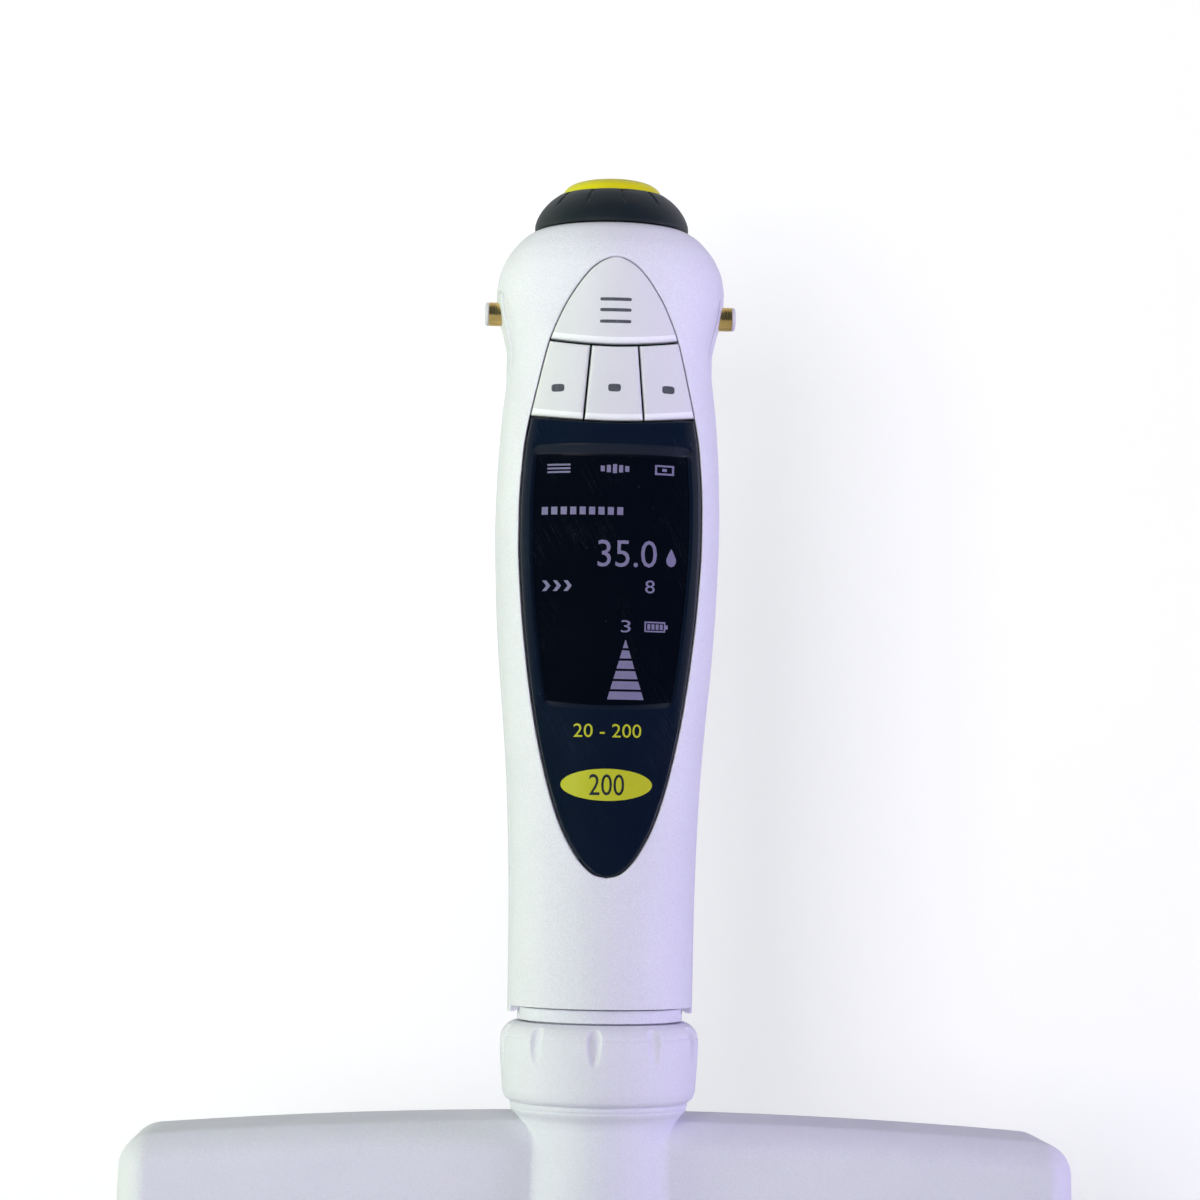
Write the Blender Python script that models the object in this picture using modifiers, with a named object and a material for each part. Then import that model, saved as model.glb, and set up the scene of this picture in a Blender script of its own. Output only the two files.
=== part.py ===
"""Electronic twelve channel pipette: handle, drive, manifold, tip cones and tip ejector.

Metres, +Z up, tips down. The front with the display faces -Y. The origin lies on the
handle's axis, midway between the two charging contacts that the pipette hangs from.
"""
import math

import bmesh
import bpy
from mathutils import Vector

# Sizes, in metres
# Handle: height, half width, front depth, rear depth and squareness of the section.
HANDLE = (
    (0.0103, 0.00995, 0.00995, 0.00995, 2.0),
    (0.0097, 0.01095, 0.01090, 0.01095, 2.0),
    (0.0085, 0.01215, 0.01205, 0.01215, 2.0),
    (0.0070, 0.01325, 0.01310, 0.01325, 2.0),
    (0.0047, 0.01415, 0.01385, 0.01415, 2.0),
    (0.0022, 0.01445, 0.01400, 0.01445, 2.0),
    (0.0000, 0.01425, 0.01385, 0.01420, 2.05),
    (-0.0027, 0.01355, 0.01355, 0.01380, 2.1),
    (-0.0053, 0.01305, 0.01335, 0.01340, 2.2),
    (-0.0085, 0.01305, 0.01325, 0.01310, 2.3),
    (-0.0130, 0.01350, 0.01320, 0.01300, 2.4),
    (-0.0200, 0.01395, 0.01310, 0.01305, 2.5),
    (-0.0270, 0.01412, 0.01295, 0.01310, 2.5),
    (-0.0350, 0.01390, 0.01275, 0.01300, 2.5),
    (-0.0430, 0.01345, 0.01245, 0.01280, 2.45),
    (-0.0510, 0.01275, 0.01215, 0.01250, 2.4),
    (-0.0590, 0.01215, 0.01185, 0.01220, 2.3),
    (-0.0670, 0.01180, 0.01165, 0.01190, 2.2),
    (-0.0760, 0.01160, 0.01155, 0.01165, 2.1),
    (-0.0868, 0.01155, 0.01150, 0.01155, 2.0),
)
WALL = 0.0018
SPLIT_Y = 0.0010
SHELL_GAP = 0.0003
REAR_SKIRT = 0.0008
SECTION_POINTS = 28
DECK_THICK = 0.0020

# Outline of the buttons and the window together: height and half width.
OGIVE = (
    (0.0052, 0.0), (0.0046, 0.0018), (0.0035, 0.0033), (0.0015, 0.0049), (-0.0010, 0.0064),
    (-0.0048, 0.0080), (-0.0100, 0.0093), (-0.0146, 0.0103), (-0.0184, 0.0109),
    (-0.0257, 0.01133), (-0.0293, 0.01133), (-0.0365, 0.01094), (-0.0437, 0.0102),
    (-0.0509, 0.00913), (-0.0581, 0.0075), (-0.0635, 0.00576), (-0.0672, 0.0038),
    (-0.0690, 0.0022), (-0.0699, 0.0),
)
BUTTON_FOOT_Z = -0.0054
BUTTON_FOOT_CURVE = 0.0368
KEY_FOOT_Z = -0.0149
KEY_FOOT_CURVE = 0.0588
KEY_SPLIT_TOP = 0.0029
KEY_SPLIT_FOOT = 0.0037
KEY_GAP = 0.00025
KEY_ROW_GAP = 0.0004
KEY_THICK = 0.0014
KEY_PROUD = 0.0002
BUTTON_TRAVEL = 0.0008
KEY_TRAVEL = 0.0005
WINDOW_THICK = 0.00095
WINDOW_LEDGE = 0.0011
WINDOW_SEAT = 0.00105
SCREEN_TOP_Z = -0.0190
SCREEN_FOOT_Z = -0.0487
SCREEN_MARGIN = 0.0017
SCREEN_DEPTH = 0.00045
SCREEN_FOOT_SAG = 0.0006
SCREEN_FOOT_CURVE = 0.0556
SKIN_REACH = (-0.0200, -0.0030)
CUT_REACH = 0.0300

WHEEL_FOOT_Z = HANDLE[0][0] + 0.0003
WHEEL_TOP_Z = WHEEL_FOOT_Z + 0.0043
WHEEL_RADIUS = HANDLE[0][1] - 0.0003
WHEEL_TOP_RADIUS = 0.0070
WHEEL_NOTCHES = 12
WHEEL_NOTCH = 0.0009
DOME_CLEAR = 0.0002
DOME_RADIUS = WHEEL_TOP_RADIUS - 0.0005 - DOME_CLEAR
DOME_RISE = 0.0024
DOME_SKIRT_Z = WHEEL_TOP_Z - 0.0067
HUB_RADIUS = DOME_RADIUS + DOME_CLEAR + 0.0007
HUB_FOOT_Z = 0.0043
DECK_BORE = HUB_RADIUS + 0.0003
EJECT_TRAVEL = 0.0015
SENSOR_RADIUS = 0.0106
SENSOR_THICK = 0.0022
PLUNGER_RADIUS = 0.0015
KEY_PLUNGER_RADIUS = 0.0012
KEY_PLUNGER_X = 0.0060
BUTTON_PLUNGER_Z = -0.0015
SWITCH_GAP = 0.0002

PIN_RADIUS = 0.0015
PIN_ROOT_X = 0.0080
PIN_END_X = 0.0150
CAP_LENGTH = 0.0009
PIN_POCKET_X = 0.01295
PIN_POCKET_HALF = 0.0056
PIN_POCKET_TOP_Z = 0.0024
PIN_POCKET_FOOT_Z = -0.0105

HOOK_ARC = 20.0
HOOK_SWING = 40.0
HOOK_BASE_R = 0.0148
HOOK_BASE_THICK = 0.0018
HOOK_BASE_Z = (0.0006, 0.0072)
HOOK_SLOT_Z = (0.0031, 0.0061)
HOOK_TONGUE_HALF = 0.0035
HOOK_FOOT_R = (0.0110, 0.0117)
HOOK_HALF_WIDTH = 0.0062
HOOK_HEEL_ARC = 26.0
HOOK_HEEL_DROP = 0.0006
# Hook arm along its middle: distance behind the axis, height, half thickness.
HOOK_ARM = (
    (0.0152, 0.0036, 0.0030), (0.0190, 0.0054, 0.0024), (0.0240, 0.0062, 0.0021),
    (0.0300, 0.0057, 0.0019), (0.0355, 0.0036, 0.0018), (0.0395, 0.0002, 0.0017),
    (0.0412, -0.0036, 0.0014),
)

BOARD_Y = (-0.0071, -0.0061)
BOARD_HALF = 0.0077
BOARD_Z = (-0.0560, 0.0016)
PANEL_HALF = 0.0078
PANEL_FRONT_Y = -0.0092
COVER_HALF = 0.0076
COVER_Z = (-0.0790, -0.0380)
COVER_THICK = 0.0016
COVER_CORNER = 0.0030
COVER_TRAVEL = 0.0120
CELL_HALF = 0.0062
CELL_Y = (0.0033, 0.0081)
CELL_Z = (-0.0735, -0.0455)

# Drive: motor with its gears, bracket, lead screw and push rod.
MOTOR_RADIUS = 0.0058
MOTOR_Z = (-0.0345, -0.0085)
GEAR_RADIUS = 0.0052
GEAR_FOOT_Z = MOTOR_Z[0] - 0.0075
TOUCH = 0.00003
BRACKET_TOUCH = 0.00005
BRACKET_HALF = 0.0104
BRACKET_THICK = 0.0020
BRACKET_REAR_Y = 0.0056
SCREW_RADIUS = 0.0015
SCREW_CLEAR = 0.00025
SCREW_GROOVES = 9
SCREW_GROOVE = 0.0003
SCREW_LENGTH_IN_ROD = 0.0180
STROKE = 0.0170
BLOW_OUT = 0.0020
ROD_RADIUS = 0.0026
ROD_CLEAR = 0.00025
ROD_TOP_Z = GEAR_FOOT_Z - BRACKET_TOUCH - BRACKET_THICK - STROKE - 0.00495
SCREW_FOOT_Z = ROD_TOP_Z - SCREW_LENGTH_IN_ROD

# Foot of the handle, collar nut and the neck that it holds.
RING_RADIUS = 0.0103
RING_Z = (HANDLE[-1][0] - 0.0018, HANDLE[-1][0] - 0.0002)
RING_PLUG_RADIUS = 0.0092
RING_PLUG_Z = RING_Z[1] + 0.0045
THREAD_RADIUS = 0.0090
THREAD_FOOT_Z = RING_Z[0] - 0.0054
PILOT_RADIUS = 0.0070
PILOT_FOOT_Z = THREAD_FOOT_Z - 0.0030
NUT_RADIUS = 0.01235
NUT_HEIGHT = 0.0099
NUT_Z = (RING_Z[0] - 0.0002 - NUT_HEIGHT, RING_Z[0] - 0.0002)
NUT_LIP = 0.0010
NUT_FLUTES = 10
NUT_FLUTE_TURN = -5.5
NUT_FLUTE_RADIUS = 0.0018
NUT_FLUTE_OFFSET = (0.0011, 0.0019)
NUT_FLUTE_DROP = (0.0008, 0.0068)
TURN_CLEAR = 0.0002
NECK_RADIUS = 0.0094
NECK_RIM_RADIUS = NECK_RADIUS + 0.0008
NECK_RIM_Z = (NUT_Z[0] + NUT_LIP + 0.0003, THREAD_FOOT_Z - 0.0003)
FLANGE_RADIUS = 0.0110
FLANGE_THICK = 0.0009
FLANGE_Z = (NUT_Z[0] - 0.0002 - FLANGE_THICK, NUT_Z[0] - 0.0002)
COLUMN_RADIUS = 0.0099
COLUMN_TAPER_Z = FLANGE_Z[0] - 0.0047
COLUMN_FOOT_RADIUS = 0.0092

# Manifold: the row of channels sets its width, the stroke its height.
CHANNELS = 12
PITCH = 0.0090
ROW_HALF = PITCH * (CHANNELS - 1) / 2
HOUSING_WALL = 0.0018
HOUSING_DEPTH = 0.0220
HOUSING_FRONT_Y = -0.00635
HOUSING_Y = (HOUSING_FRONT_Y, HOUSING_FRONT_Y + HOUSING_DEPTH)
CHANNEL_Y = HOUSING_FRONT_Y + HOUSING_DEPTH / 2
HOLE_CLEAR = 0.00015
PLATE_CLEAR = 0.0003
EJECTOR_ROD_X = ROW_HALF + 0.0055
EJECTOR_ROD_RADIUS = 0.0012
EJECTOR_HEAD_RADIUS = 0.0020
EJECTOR_HALF = EJECTOR_ROD_X + 0.0016
EJECTOR_HALF_DEPTH = 0.0062
EJECTOR_TRAVEL = 0.0040
BAR_HALF = EJECTOR_ROD_X - EJECTOR_HEAD_RADIUS - 0.0012
BAR_HALF_DEPTH = HOUSING_DEPTH / 2 - HOUSING_WALL - 0.0017
BAR_THICK = 0.0057
PLATE_HALF = EJECTOR_ROD_X + 0.0023
HOUSING_HALF = PLATE_HALF + PLATE_CLEAR + HOUSING_WALL
HOUSING_SPREAD = 0.0010
HOUSING_CORNER = 0.0042
HOUSING_ROUND = 0.0031
HOUSING_ARCH = 0.7061
HOUSING_TOP_Z = FLANGE_Z[0] - 0.0006
REAR_COVER_THICK = 0.0016
PISTON_RADIUS = 0.0015
CYLINDER_RADIUS = 0.0026
BORE_CLEAR = 0.00006
CONE_TRAVEL = 0.0015
CONE_FLANGE_RADIUS = 0.0036
CONE_TIP_RADIUS = 0.0018
CONE_HOLE = 0.0006
CONE_SIDES = 8
bar_end_drop = BAR_HALF ** 2 / (2 * HOUSING_ARCH)
bar_top_z = HOUSING_TOP_Z - HOUSING_WALL - bar_end_drop - 0.0007 - STROKE
BAR_Z = (bar_top_z - BAR_THICK, bar_top_z)
CYLINDER_TOP_Z = BAR_Z[0] - BLOW_OUT - CONE_TRAVEL - 0.0004
GUIDE_Z = (CYLINDER_TOP_Z - 0.0054, CYLINDER_TOP_Z - 0.0031)
CONE_FLANGE_Z = (GUIDE_Z[0] - 0.0122, GUIDE_Z[0] - 0.0104)
PLATE_Z = (CONE_FLANGE_Z[0] - 0.0040, CONE_FLANGE_Z[0] - 0.00005)
HOUSING_FOOT_Z = PLATE_Z[0] - 0.0030
EJECTOR_Z = (HOUSING_FOOT_Z - 0.0058, HOUSING_FOOT_Z - 0.0010)
EJECTOR_HEAD_Z = (GUIDE_Z[1] + 0.0073, GUIDE_Z[1] + 0.0089)
BORE_FOOT_Z = HOUSING_FOOT_Z - 0.0020
PISTON_FOOT_Z = BORE_FOOT_Z + BLOW_OUT + 0.0015
CONE_NECK_Z = HOUSING_FOOT_Z - 0.0080
CONE_TIP_Z = CONE_NECK_Z - 0.0120
SPRING_WIRE = 0.00025
SPRING_TURNS = 5

for old in list(bpy.data.objects):
    bpy.data.objects.remove(old, do_unlink=True)

parts = bpy.data.collections.new("electronic_multichannel_pipette")
cutters = bpy.data.collections.new("cutters")
bpy.context.scene.collection.children.link(parts)
bpy.context.scene.collection.children.link(cutters)


def material(name, colour, roughness, metallic=0.0):
    made = bpy.data.materials.get(name)
    if made is None:
        made = bpy.data.materials.new(name)
        made.use_nodes = True
        shader = made.node_tree.nodes["Principled BSDF"]
        shader.inputs["Base Color"].default_value = (*colour, 1.0)
        shader.inputs["Roughness"].default_value = roughness
        shader.inputs["Metallic"].default_value = metallic
    return made


def white(name):
    return material(name, (0.80, 0.80, 0.82), 0.42)


def place(name, mesh, finish=None, location=(0, 0, 0)):
    """Puts a mesh into the file, as a part with a finish or else as a cutter."""
    piece = bpy.data.objects.new(name, mesh)
    piece.location = location
    if finish is None:
        cutters.objects.link(piece)
        piece.hide_render = True
        piece.display_type = "WIRE"
    else:
        parts.objects.link(piece)
        mesh.materials.clear()
        mesh.materials.append(finish)
    return piece


def combine(piece, tool, operation="DIFFERENCE"):
    step = piece.modifiers.new(operation.title() + " " + tool.name, "BOOLEAN")
    step.operation = operation
    step.solver = "EXACT"
    step.object = tool
    return piece


def smooth(piece, angle=40.0):
    """Shades the faces smooth and keeps edges over the angle sharp."""
    work = bmesh.new()
    work.from_mesh(piece.data)
    for face in work.faces:
        face.smooth = True
    for edge in work.edges:
        edge.smooth = edge.calc_face_angle(0.0) < math.radians(angle)
    work.to_mesh(piece.data)
    work.free()
    return piece


def bevel(piece, width, segments=2, angle=50.0):
    step = piece.modifiers.new("Rounded edges", "BEVEL")
    step.width = width
    step.segments = segments
    step.limit_method = "ANGLE"
    step.angle_limit = math.radians(angle)
    return piece


def loft(name, rings, finish=None):
    """A closed solid through rings of equal point count, capped at both ends."""
    work = bmesh.new()
    rows = [[work.verts.new(point) for point in ring] for ring in rings]
    for upper, lower in zip(rows, rows[1:]):
        for k in range(len(upper)):
            j = (k + 1) % len(upper)
            work.faces.new((upper[k], upper[j], lower[j], lower[k]))
    work.faces.new(rows[0])
    work.faces.new(rows[-1])
    bmesh.ops.recalc_face_normals(work, faces=work.faces)
    mesh = bpy.data.meshes.new(name)
    work.to_mesh(mesh)
    work.free()
    return place(name, mesh, finish)


def turned(name, profile, finish=None, segments=32, location=(0, 0, 0)):
    """Turns a closed profile of (radius, height) points about Z; radius 0 closes on the axis.

    The points are put in the order that makes the faces look outwards.
    """
    area = sum(a[0] * b[1] - b[0] * a[1] for a, b in zip(profile, profile[1:] + profile[:1]))
    if area > 0:
        profile = profile[::-1]
    count = len(profile)
    edges = [(k, (k + 1) % count) for k in range(count)]
    edges = [(a, b) for a, b in edges if profile[a][0] > 0 or profile[b][0] > 0]
    mesh = bpy.data.meshes.new(name)
    mesh.from_pydata([(r, 0, z) for r, z in profile], edges, [])
    piece = place(name, mesh, finish, location)
    step = piece.modifiers.new("Turn about Z", "SCREW")
    step.axis = "Z"
    step.angle = 2 * math.pi
    step.steps = segments
    step.render_steps = segments
    step.use_merge_vertices = True
    step.merge_threshold = 0.00001
    step.use_smooth_shade = False
    return piece


def box(name, x, y, z, finish=None, location=(0, 0, 0)):
    work = bmesh.new()
    bmesh.ops.create_cube(work, size=1.0)
    for vert in work.verts:
        vert.co.x = x[0] if vert.co.x < 0 else x[1]
        vert.co.y = y[0] if vert.co.y < 0 else y[1]
        vert.co.z = z[0] if vert.co.z < 0 else z[1]
    mesh = bpy.data.meshes.new(name)
    work.to_mesh(mesh)
    work.free()
    return place(name, mesh, finish, location)


def rod(name, radius, start, end, finish=None, segments=20):
    """A round bar between two points."""
    work = bmesh.new()
    start, end = Vector(start), Vector(end)
    bmesh.ops.create_cone(work, cap_ends=True, segments=segments, radius1=radius, radius2=radius,
                          depth=(end - start).length)
    turn = (end - start).to_track_quat("Z", "Y").to_matrix().to_4x4()
    turn.translation = (start + end) / 2
    bmesh.ops.transform(work, matrix=turn, verts=work.verts)
    mesh = bpy.data.meshes.new(name)
    work.to_mesh(mesh)
    work.free()
    return smooth(place(name, mesh, finish), 30.0)


def prism(name, outline, y, finish=None):
    """A flat outline of (x, z) points carried along Y from y[0] to y[1]."""
    return loft(name, [[(x, depth, z) for x, z in outline] for depth in y], finish)


def between(table, value, column=1):
    """Reads a table of rising or falling first values by a smooth monotone curve."""
    rows = sorted(table)
    xs = [row[0] for row in rows]
    ys = [row[column] for row in rows]
    value = min(max(value, xs[0]), xs[-1])
    slopes = [(ys[k + 1] - ys[k]) / (xs[k + 1] - xs[k]) for k in range(len(xs) - 1)]
    tangents = [slopes[0]]
    for a, b in zip(slopes, slopes[1:]):
        tangents.append(0.0 if a * b <= 0 else 2 * a * b / (a + b))
    tangents.append(slopes[-1])
    k = max(0, min(len(xs) - 2, sum(x <= value for x in xs) - 1))
    h = xs[k + 1] - xs[k]
    t = (value - xs[k]) / h
    return (ys[k] * (1 + 2 * t) * (1 - t) ** 2 + tangents[k] * h * t * (1 - t) ** 2
            + ys[k + 1] * t * t * (3 - 2 * t) - tangents[k + 1] * h * t * t * (1 - t))


def handle_ring(z, inset, shift=0.0):
    """One section of the handle's outside, drawn in by inset."""
    half, front, rear, power = (between(HANDLE, z, column) for column in (1, 2, 3, 4))
    ring = []
    for k in range(SECTION_POINTS):
        angle = 2 * math.pi * (k + 0.5) / SECTION_POINTS
        c, s = math.cos(angle), math.sin(angle)
        depth = rear if s > 0 else front
        x = math.copysign(abs(c) ** (2 / power), c) * (half - inset)
        y = math.copysign(abs(s) ** (2 / power), s) * (depth - inset)
        ring.append((x, y, z + shift))
    return ring


def handle_solid(name, inset, top=None, foot=None, every=1):
    """The handle's outside drawn in by inset, as a solid from top to foot, through every nth row."""
    heights = [row[0] for row in HANDLE]
    top = heights[0] if top is None else top
    foot = heights[-1] if foot is None else foot
    inside = [z for z in heights[::every] if foot + 0.0004 < z < top - 0.0004]
    rings = [handle_ring(z, inset) for z in [top] + inside + [foot]]
    return loft(name, rings)


def side_points(z_from, z_to, grow, count):
    """Right hand side of the ogive outline between two heights, moved out by grow."""
    points = []
    for k in range(count + 1):
        z = z_from + (z_to - z_from) * k / count
        points.append((between(OGIVE, z) + grow, z))
    return points


def arc_points(x_from, x_to, height, curve, count):
    """A shallow arc of a given radius across the front, lowest in the middle."""
    return [(x, height + x * x / (2 * curve)) for x in
            (x_from + (x_to - x_from) * k / count for k in range(count + 1))]


def meet(height, curve, grow):
    """Where an arc across the front meets the ogive's right side."""
    z = height
    for _ in range(20):
        z = height + (between(OGIVE, z) + grow) ** 2 / (2 * curve)
    return between(OGIVE, z) + grow, z


# Outlines on the front
def button_outline(grow):
    foot_x, foot_z = meet(BUTTON_FOOT_Z - grow, BUTTON_FOOT_CURVE, grow)
    apex = OGIVE[0][0] + grow
    heights = [apex - (apex - foot_z) * (k / 12) ** 1.7 for k in range(13)]
    right = [(between(OGIVE, z - grow) + grow * min(1.0, k / 3), z) for k, z in enumerate(heights)]
    right[0] = (0.0, apex)
    right[-1] = (foot_x, foot_z)
    across = arc_points(foot_x, -foot_x, BUTTON_FOOT_Z - grow, BUTTON_FOOT_CURVE, 10)[1:-1]
    left = [(-x, z) for x, z in reversed(right[1:])]
    return right + across + left


def split_x(z):
    part = (z - KEY_FOOT_Z) / (BUTTON_FOOT_Z - KEY_FOOT_Z)
    return KEY_SPLIT_FOOT + (KEY_SPLIT_TOP - KEY_SPLIT_FOOT) * part


def key_outline(side):
    """Outline of a soft key: -1 left, 0 middle, 1 right."""
    top, foot = BUTTON_FOOT_Z - KEY_ROW_GAP, KEY_FOOT_Z
    if side == 0:
        x_top, x_foot = split_x(top) - KEY_GAP / 2, split_x(foot) - KEY_GAP / 2
        upper = arc_points(-x_top, x_top, top, BUTTON_FOOT_CURVE, 4)
        lower = arc_points(x_foot, -x_foot, foot, KEY_FOOT_CURVE, 4)
        return upper + lower
    x_top, x_foot = split_x(top) + KEY_GAP / 2, split_x(foot) + KEY_GAP / 2
    far_top = meet(top, BUTTON_FOOT_CURVE, -KEY_GAP / 2)
    far_foot = meet(foot, KEY_FOOT_CURVE, -KEY_GAP / 2)
    upper = arc_points(x_top, far_top[0], top, BUTTON_FOOT_CURVE, 4)
    outer = side_points(far_top[1], far_foot[1], -KEY_GAP / 2, 5)[1:-1]
    lower = arc_points(far_foot[0], x_foot, foot, KEY_FOOT_CURVE, 4)
    outline = upper + outer + lower
    return outline if side > 0 else [(-x, z) for x, z in reversed(outline)]


def window_outline(grow):
    top_x, top_z = meet(KEY_FOOT_Z - KEY_GAP + grow, KEY_FOOT_CURVE, grow)
    tip = OGIVE[-1][0] - grow
    rows = 16
    heights = [tip + (top_z - tip) * (1 - k / rows) ** 1.5 for k in range(rows + 1)]
    right = []
    for k, z in enumerate(heights):
        slack = min(1.0, (rows - k) / 3)
        right.append((between(OGIVE, max(z + grow * (1 - slack), OGIVE[-1][0])) + grow * slack, z))
    right[0] = (top_x, top_z)
    right[-1] = (0.0, tip)
    across = arc_points(-top_x, top_x, KEY_FOOT_Z - KEY_GAP + grow, KEY_FOOT_CURVE, 12)[1:-1]
    left = [(-x, z) for x, z in reversed(right[:-1])]
    return right + left + across


def keys_outline():
    """Button and soft keys together, for the opening in the front casing."""
    button = [point for point in button_outline(0.0) if point[0] >= 0]
    button.sort(key=lambda point: -point[1])
    button = [point for point in button if point[1] > meet(BUTTON_FOOT_Z, BUTTON_FOOT_CURVE, 0.0)[1] - 0.00001]
    foot = KEY_FOOT_Z - KEY_ROW_GAP
    foot_x, foot_z = meet(foot, KEY_FOOT_CURVE, 0.0)
    right = button + side_points(button[-1][1], foot_z, 0.0, 6)[1:]
    across = arc_points(foot_x, -foot_x, foot, KEY_FOOT_CURVE, 12)[1:-1]
    left = [(-x, z) for x, z in reversed(right) if x > 0]
    return right + across + left


def skin_y(x, z, inset):
    """Where the handle's front surface, drawn in by inset, lies at x and z."""
    half, front, power = (between(HANDLE, z, column) for column in (1, 2, 4))
    return -(front - inset) * (1 - abs(x / (half - inset)) ** power) ** (1 / power)


def front_skin(name, outline, proud, thick, finish):
    """A piece of the handle's front surface inside an outline, as a plate."""
    piece = prism(name, outline, SKIN_REACH, finish)
    combine(piece, handle_solid(name + "_outside", -proud), "INTERSECT")
    combine(piece, handle_solid(name + "_inside", thick), "DIFFERENCE")
    return piece


# Casings
handle_top_z = HANDLE[0][0]
handle_foot_z = HANDLE[-1][0]
inside = handle_solid("handle_inside", WALL, top=handle_top_z - DECK_THICK, foot=handle_foot_z - 0.0004,
                      every=2)
deck_bore = rod("deck_bore", DECK_BORE, (0, 0, handle_top_z - 2 * DECK_THICK), (0, 0, handle_top_z + CUT_REACH),
                segments=36)


def side_pocket(side):
    """The hollow in the handle's side that leaves room around a charging contact."""
    outline = []
    for k in range(13):
        angle = math.pi * k / 12
        outline.append((PIN_POCKET_HALF * math.cos(angle),
                        PIN_POCKET_TOP_Z - PIN_POCKET_HALF * 0.55 * (1 - math.sin(angle))))
    outline += [(-PIN_POCKET_HALF, PIN_POCKET_FOOT_Z), (PIN_POCKET_HALF, PIN_POCKET_FOOT_Z)]
    reach = (PIN_POCKET_X, CUT_REACH)
    rings = [[(side * x, y, z) for y, z in outline] for x in reach]
    return loft("side_pocket_" + ("right" if side > 0 else "left"), rings)


cut_x = (-CUT_REACH, CUT_REACH)
cut_z = (handle_foot_z - CUT_REACH, handle_top_z + CUT_REACH)
front_cut = box("front_cut", cut_x, (SPLIT_Y - SHELL_GAP / 2, CUT_REACH), cut_z)
rear_cut = box("rear_cut", cut_x, (-CUT_REACH, SPLIT_Y + SHELL_GAP / 2), cut_z)
pockets = [side_pocket(side) for side in (-1, 1)]
pin_holes = rod("pin_holes", PIN_RADIUS + HOLE_CLEAR, (-CUT_REACH, 0, 0), (CUT_REACH, 0, 0))

front_casing = loft("front_casing", [handle_ring(row[0], 0.0) for row in HANDLE], white("front_casing"))
rear_rings = [handle_ring(row[0], 0.0) for row in HANDLE]
rear_rings.append(handle_ring(HANDLE[-1][0], 0.0, -REAR_SKIRT))
rear_casing = loft("rear_casing", rear_rings, white("rear_casing"))
inside_long = turned("inside_foot", [
    (0, RING_PLUG_Z - 0.0015), (RING_RADIUS + HOLE_CLEAR, RING_Z[1] + 0.0001),
    (RING_RADIUS + HOLE_CLEAR, RING_Z[0] - 0.0014), (0, RING_Z[0] - 0.0014)])
for casing, half in ((front_casing, front_cut), (rear_casing, rear_cut)):
    smooth(casing)
    combine(casing, inside)
    combine(casing, half)
    combine(casing, deck_bore)
    for pocket in pockets:
        combine(casing, pocket)
    combine(casing, pin_holes)
combine(rear_casing, inside_long)

seat_tool = prism("window_seat", window_outline(0.0), SKIN_REACH)
combine(seat_tool, handle_solid("seat_floor", WINDOW_SEAT), "DIFFERENCE")
combine(front_casing, seat_tool)
combine(front_casing, prism("key_opening", keys_outline(), SKIN_REACH))
combine(front_casing, prism("window_opening", window_outline(-WINDOW_LEDGE), SKIN_REACH))


def rounded_rect(half, z_range, corner, count=4):
    """Outline of an upright rectangle with rounded corners, in (x, z)."""
    foot, top = z_range
    points = []
    for x, z, start in ((half, top, 0), (-half, top, 90), (-half, foot, 180), (half, foot, 270)):
        cx = x - math.copysign(corner, x)
        cz = z - corner if z == top else z + corner
        for k in range(count + 1):
            angle = math.radians(start + 90 * k / count)
            points.append((cx + corner * math.cos(angle), cz + corner * math.sin(angle)))
    return points


cover_reach = (0.003, CUT_REACH)
cover_opening = prism("cover_opening", rounded_rect(COVER_HALF, COVER_Z, COVER_CORNER), cover_reach)
combine(rear_casing, cover_opening)
slot_radii = (HOOK_FOOT_R[0] - 0.0015, HOOK_BASE_R + 0.0032)
tongue_angle = math.asin(HOOK_TONGUE_HALF / (HOOK_FOOT_R[1] + 0.0008))
slot_reach = math.radians(HOOK_SWING) + tongue_angle + 0.02
slot_ring = []
for z in HOOK_SLOT_Z:
    arc = [math.pi / 2 - slot_reach + 2 * slot_reach * k / 16 for k in range(17)]
    outer = [(slot_radii[1] * math.cos(a), slot_radii[1] * math.sin(a), z) for a in arc]
    inner = [(slot_radii[0] * math.cos(a), slot_radii[0] * math.sin(a), z) for a in reversed(arc)]
    slot_ring.append(outer + inner)
combine(rear_casing, loft("hook_slot", slot_ring))

cover_z = (COVER_Z[0] + HOLE_CLEAR, COVER_Z[1] - HOLE_CLEAR)
cover_outline = rounded_rect(COVER_HALF - HOLE_CLEAR, cover_z, COVER_CORNER - HOLE_CLEAR)
battery_cover = prism("battery_cover", cover_outline, cover_reach, white("battery_cover"))
combine(battery_cover, handle_solid("cover_outside", 0.0), "INTERSECT")
combine(battery_cover, handle_solid("cover_inside", COVER_THICK), "DIFFERENCE")

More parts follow.
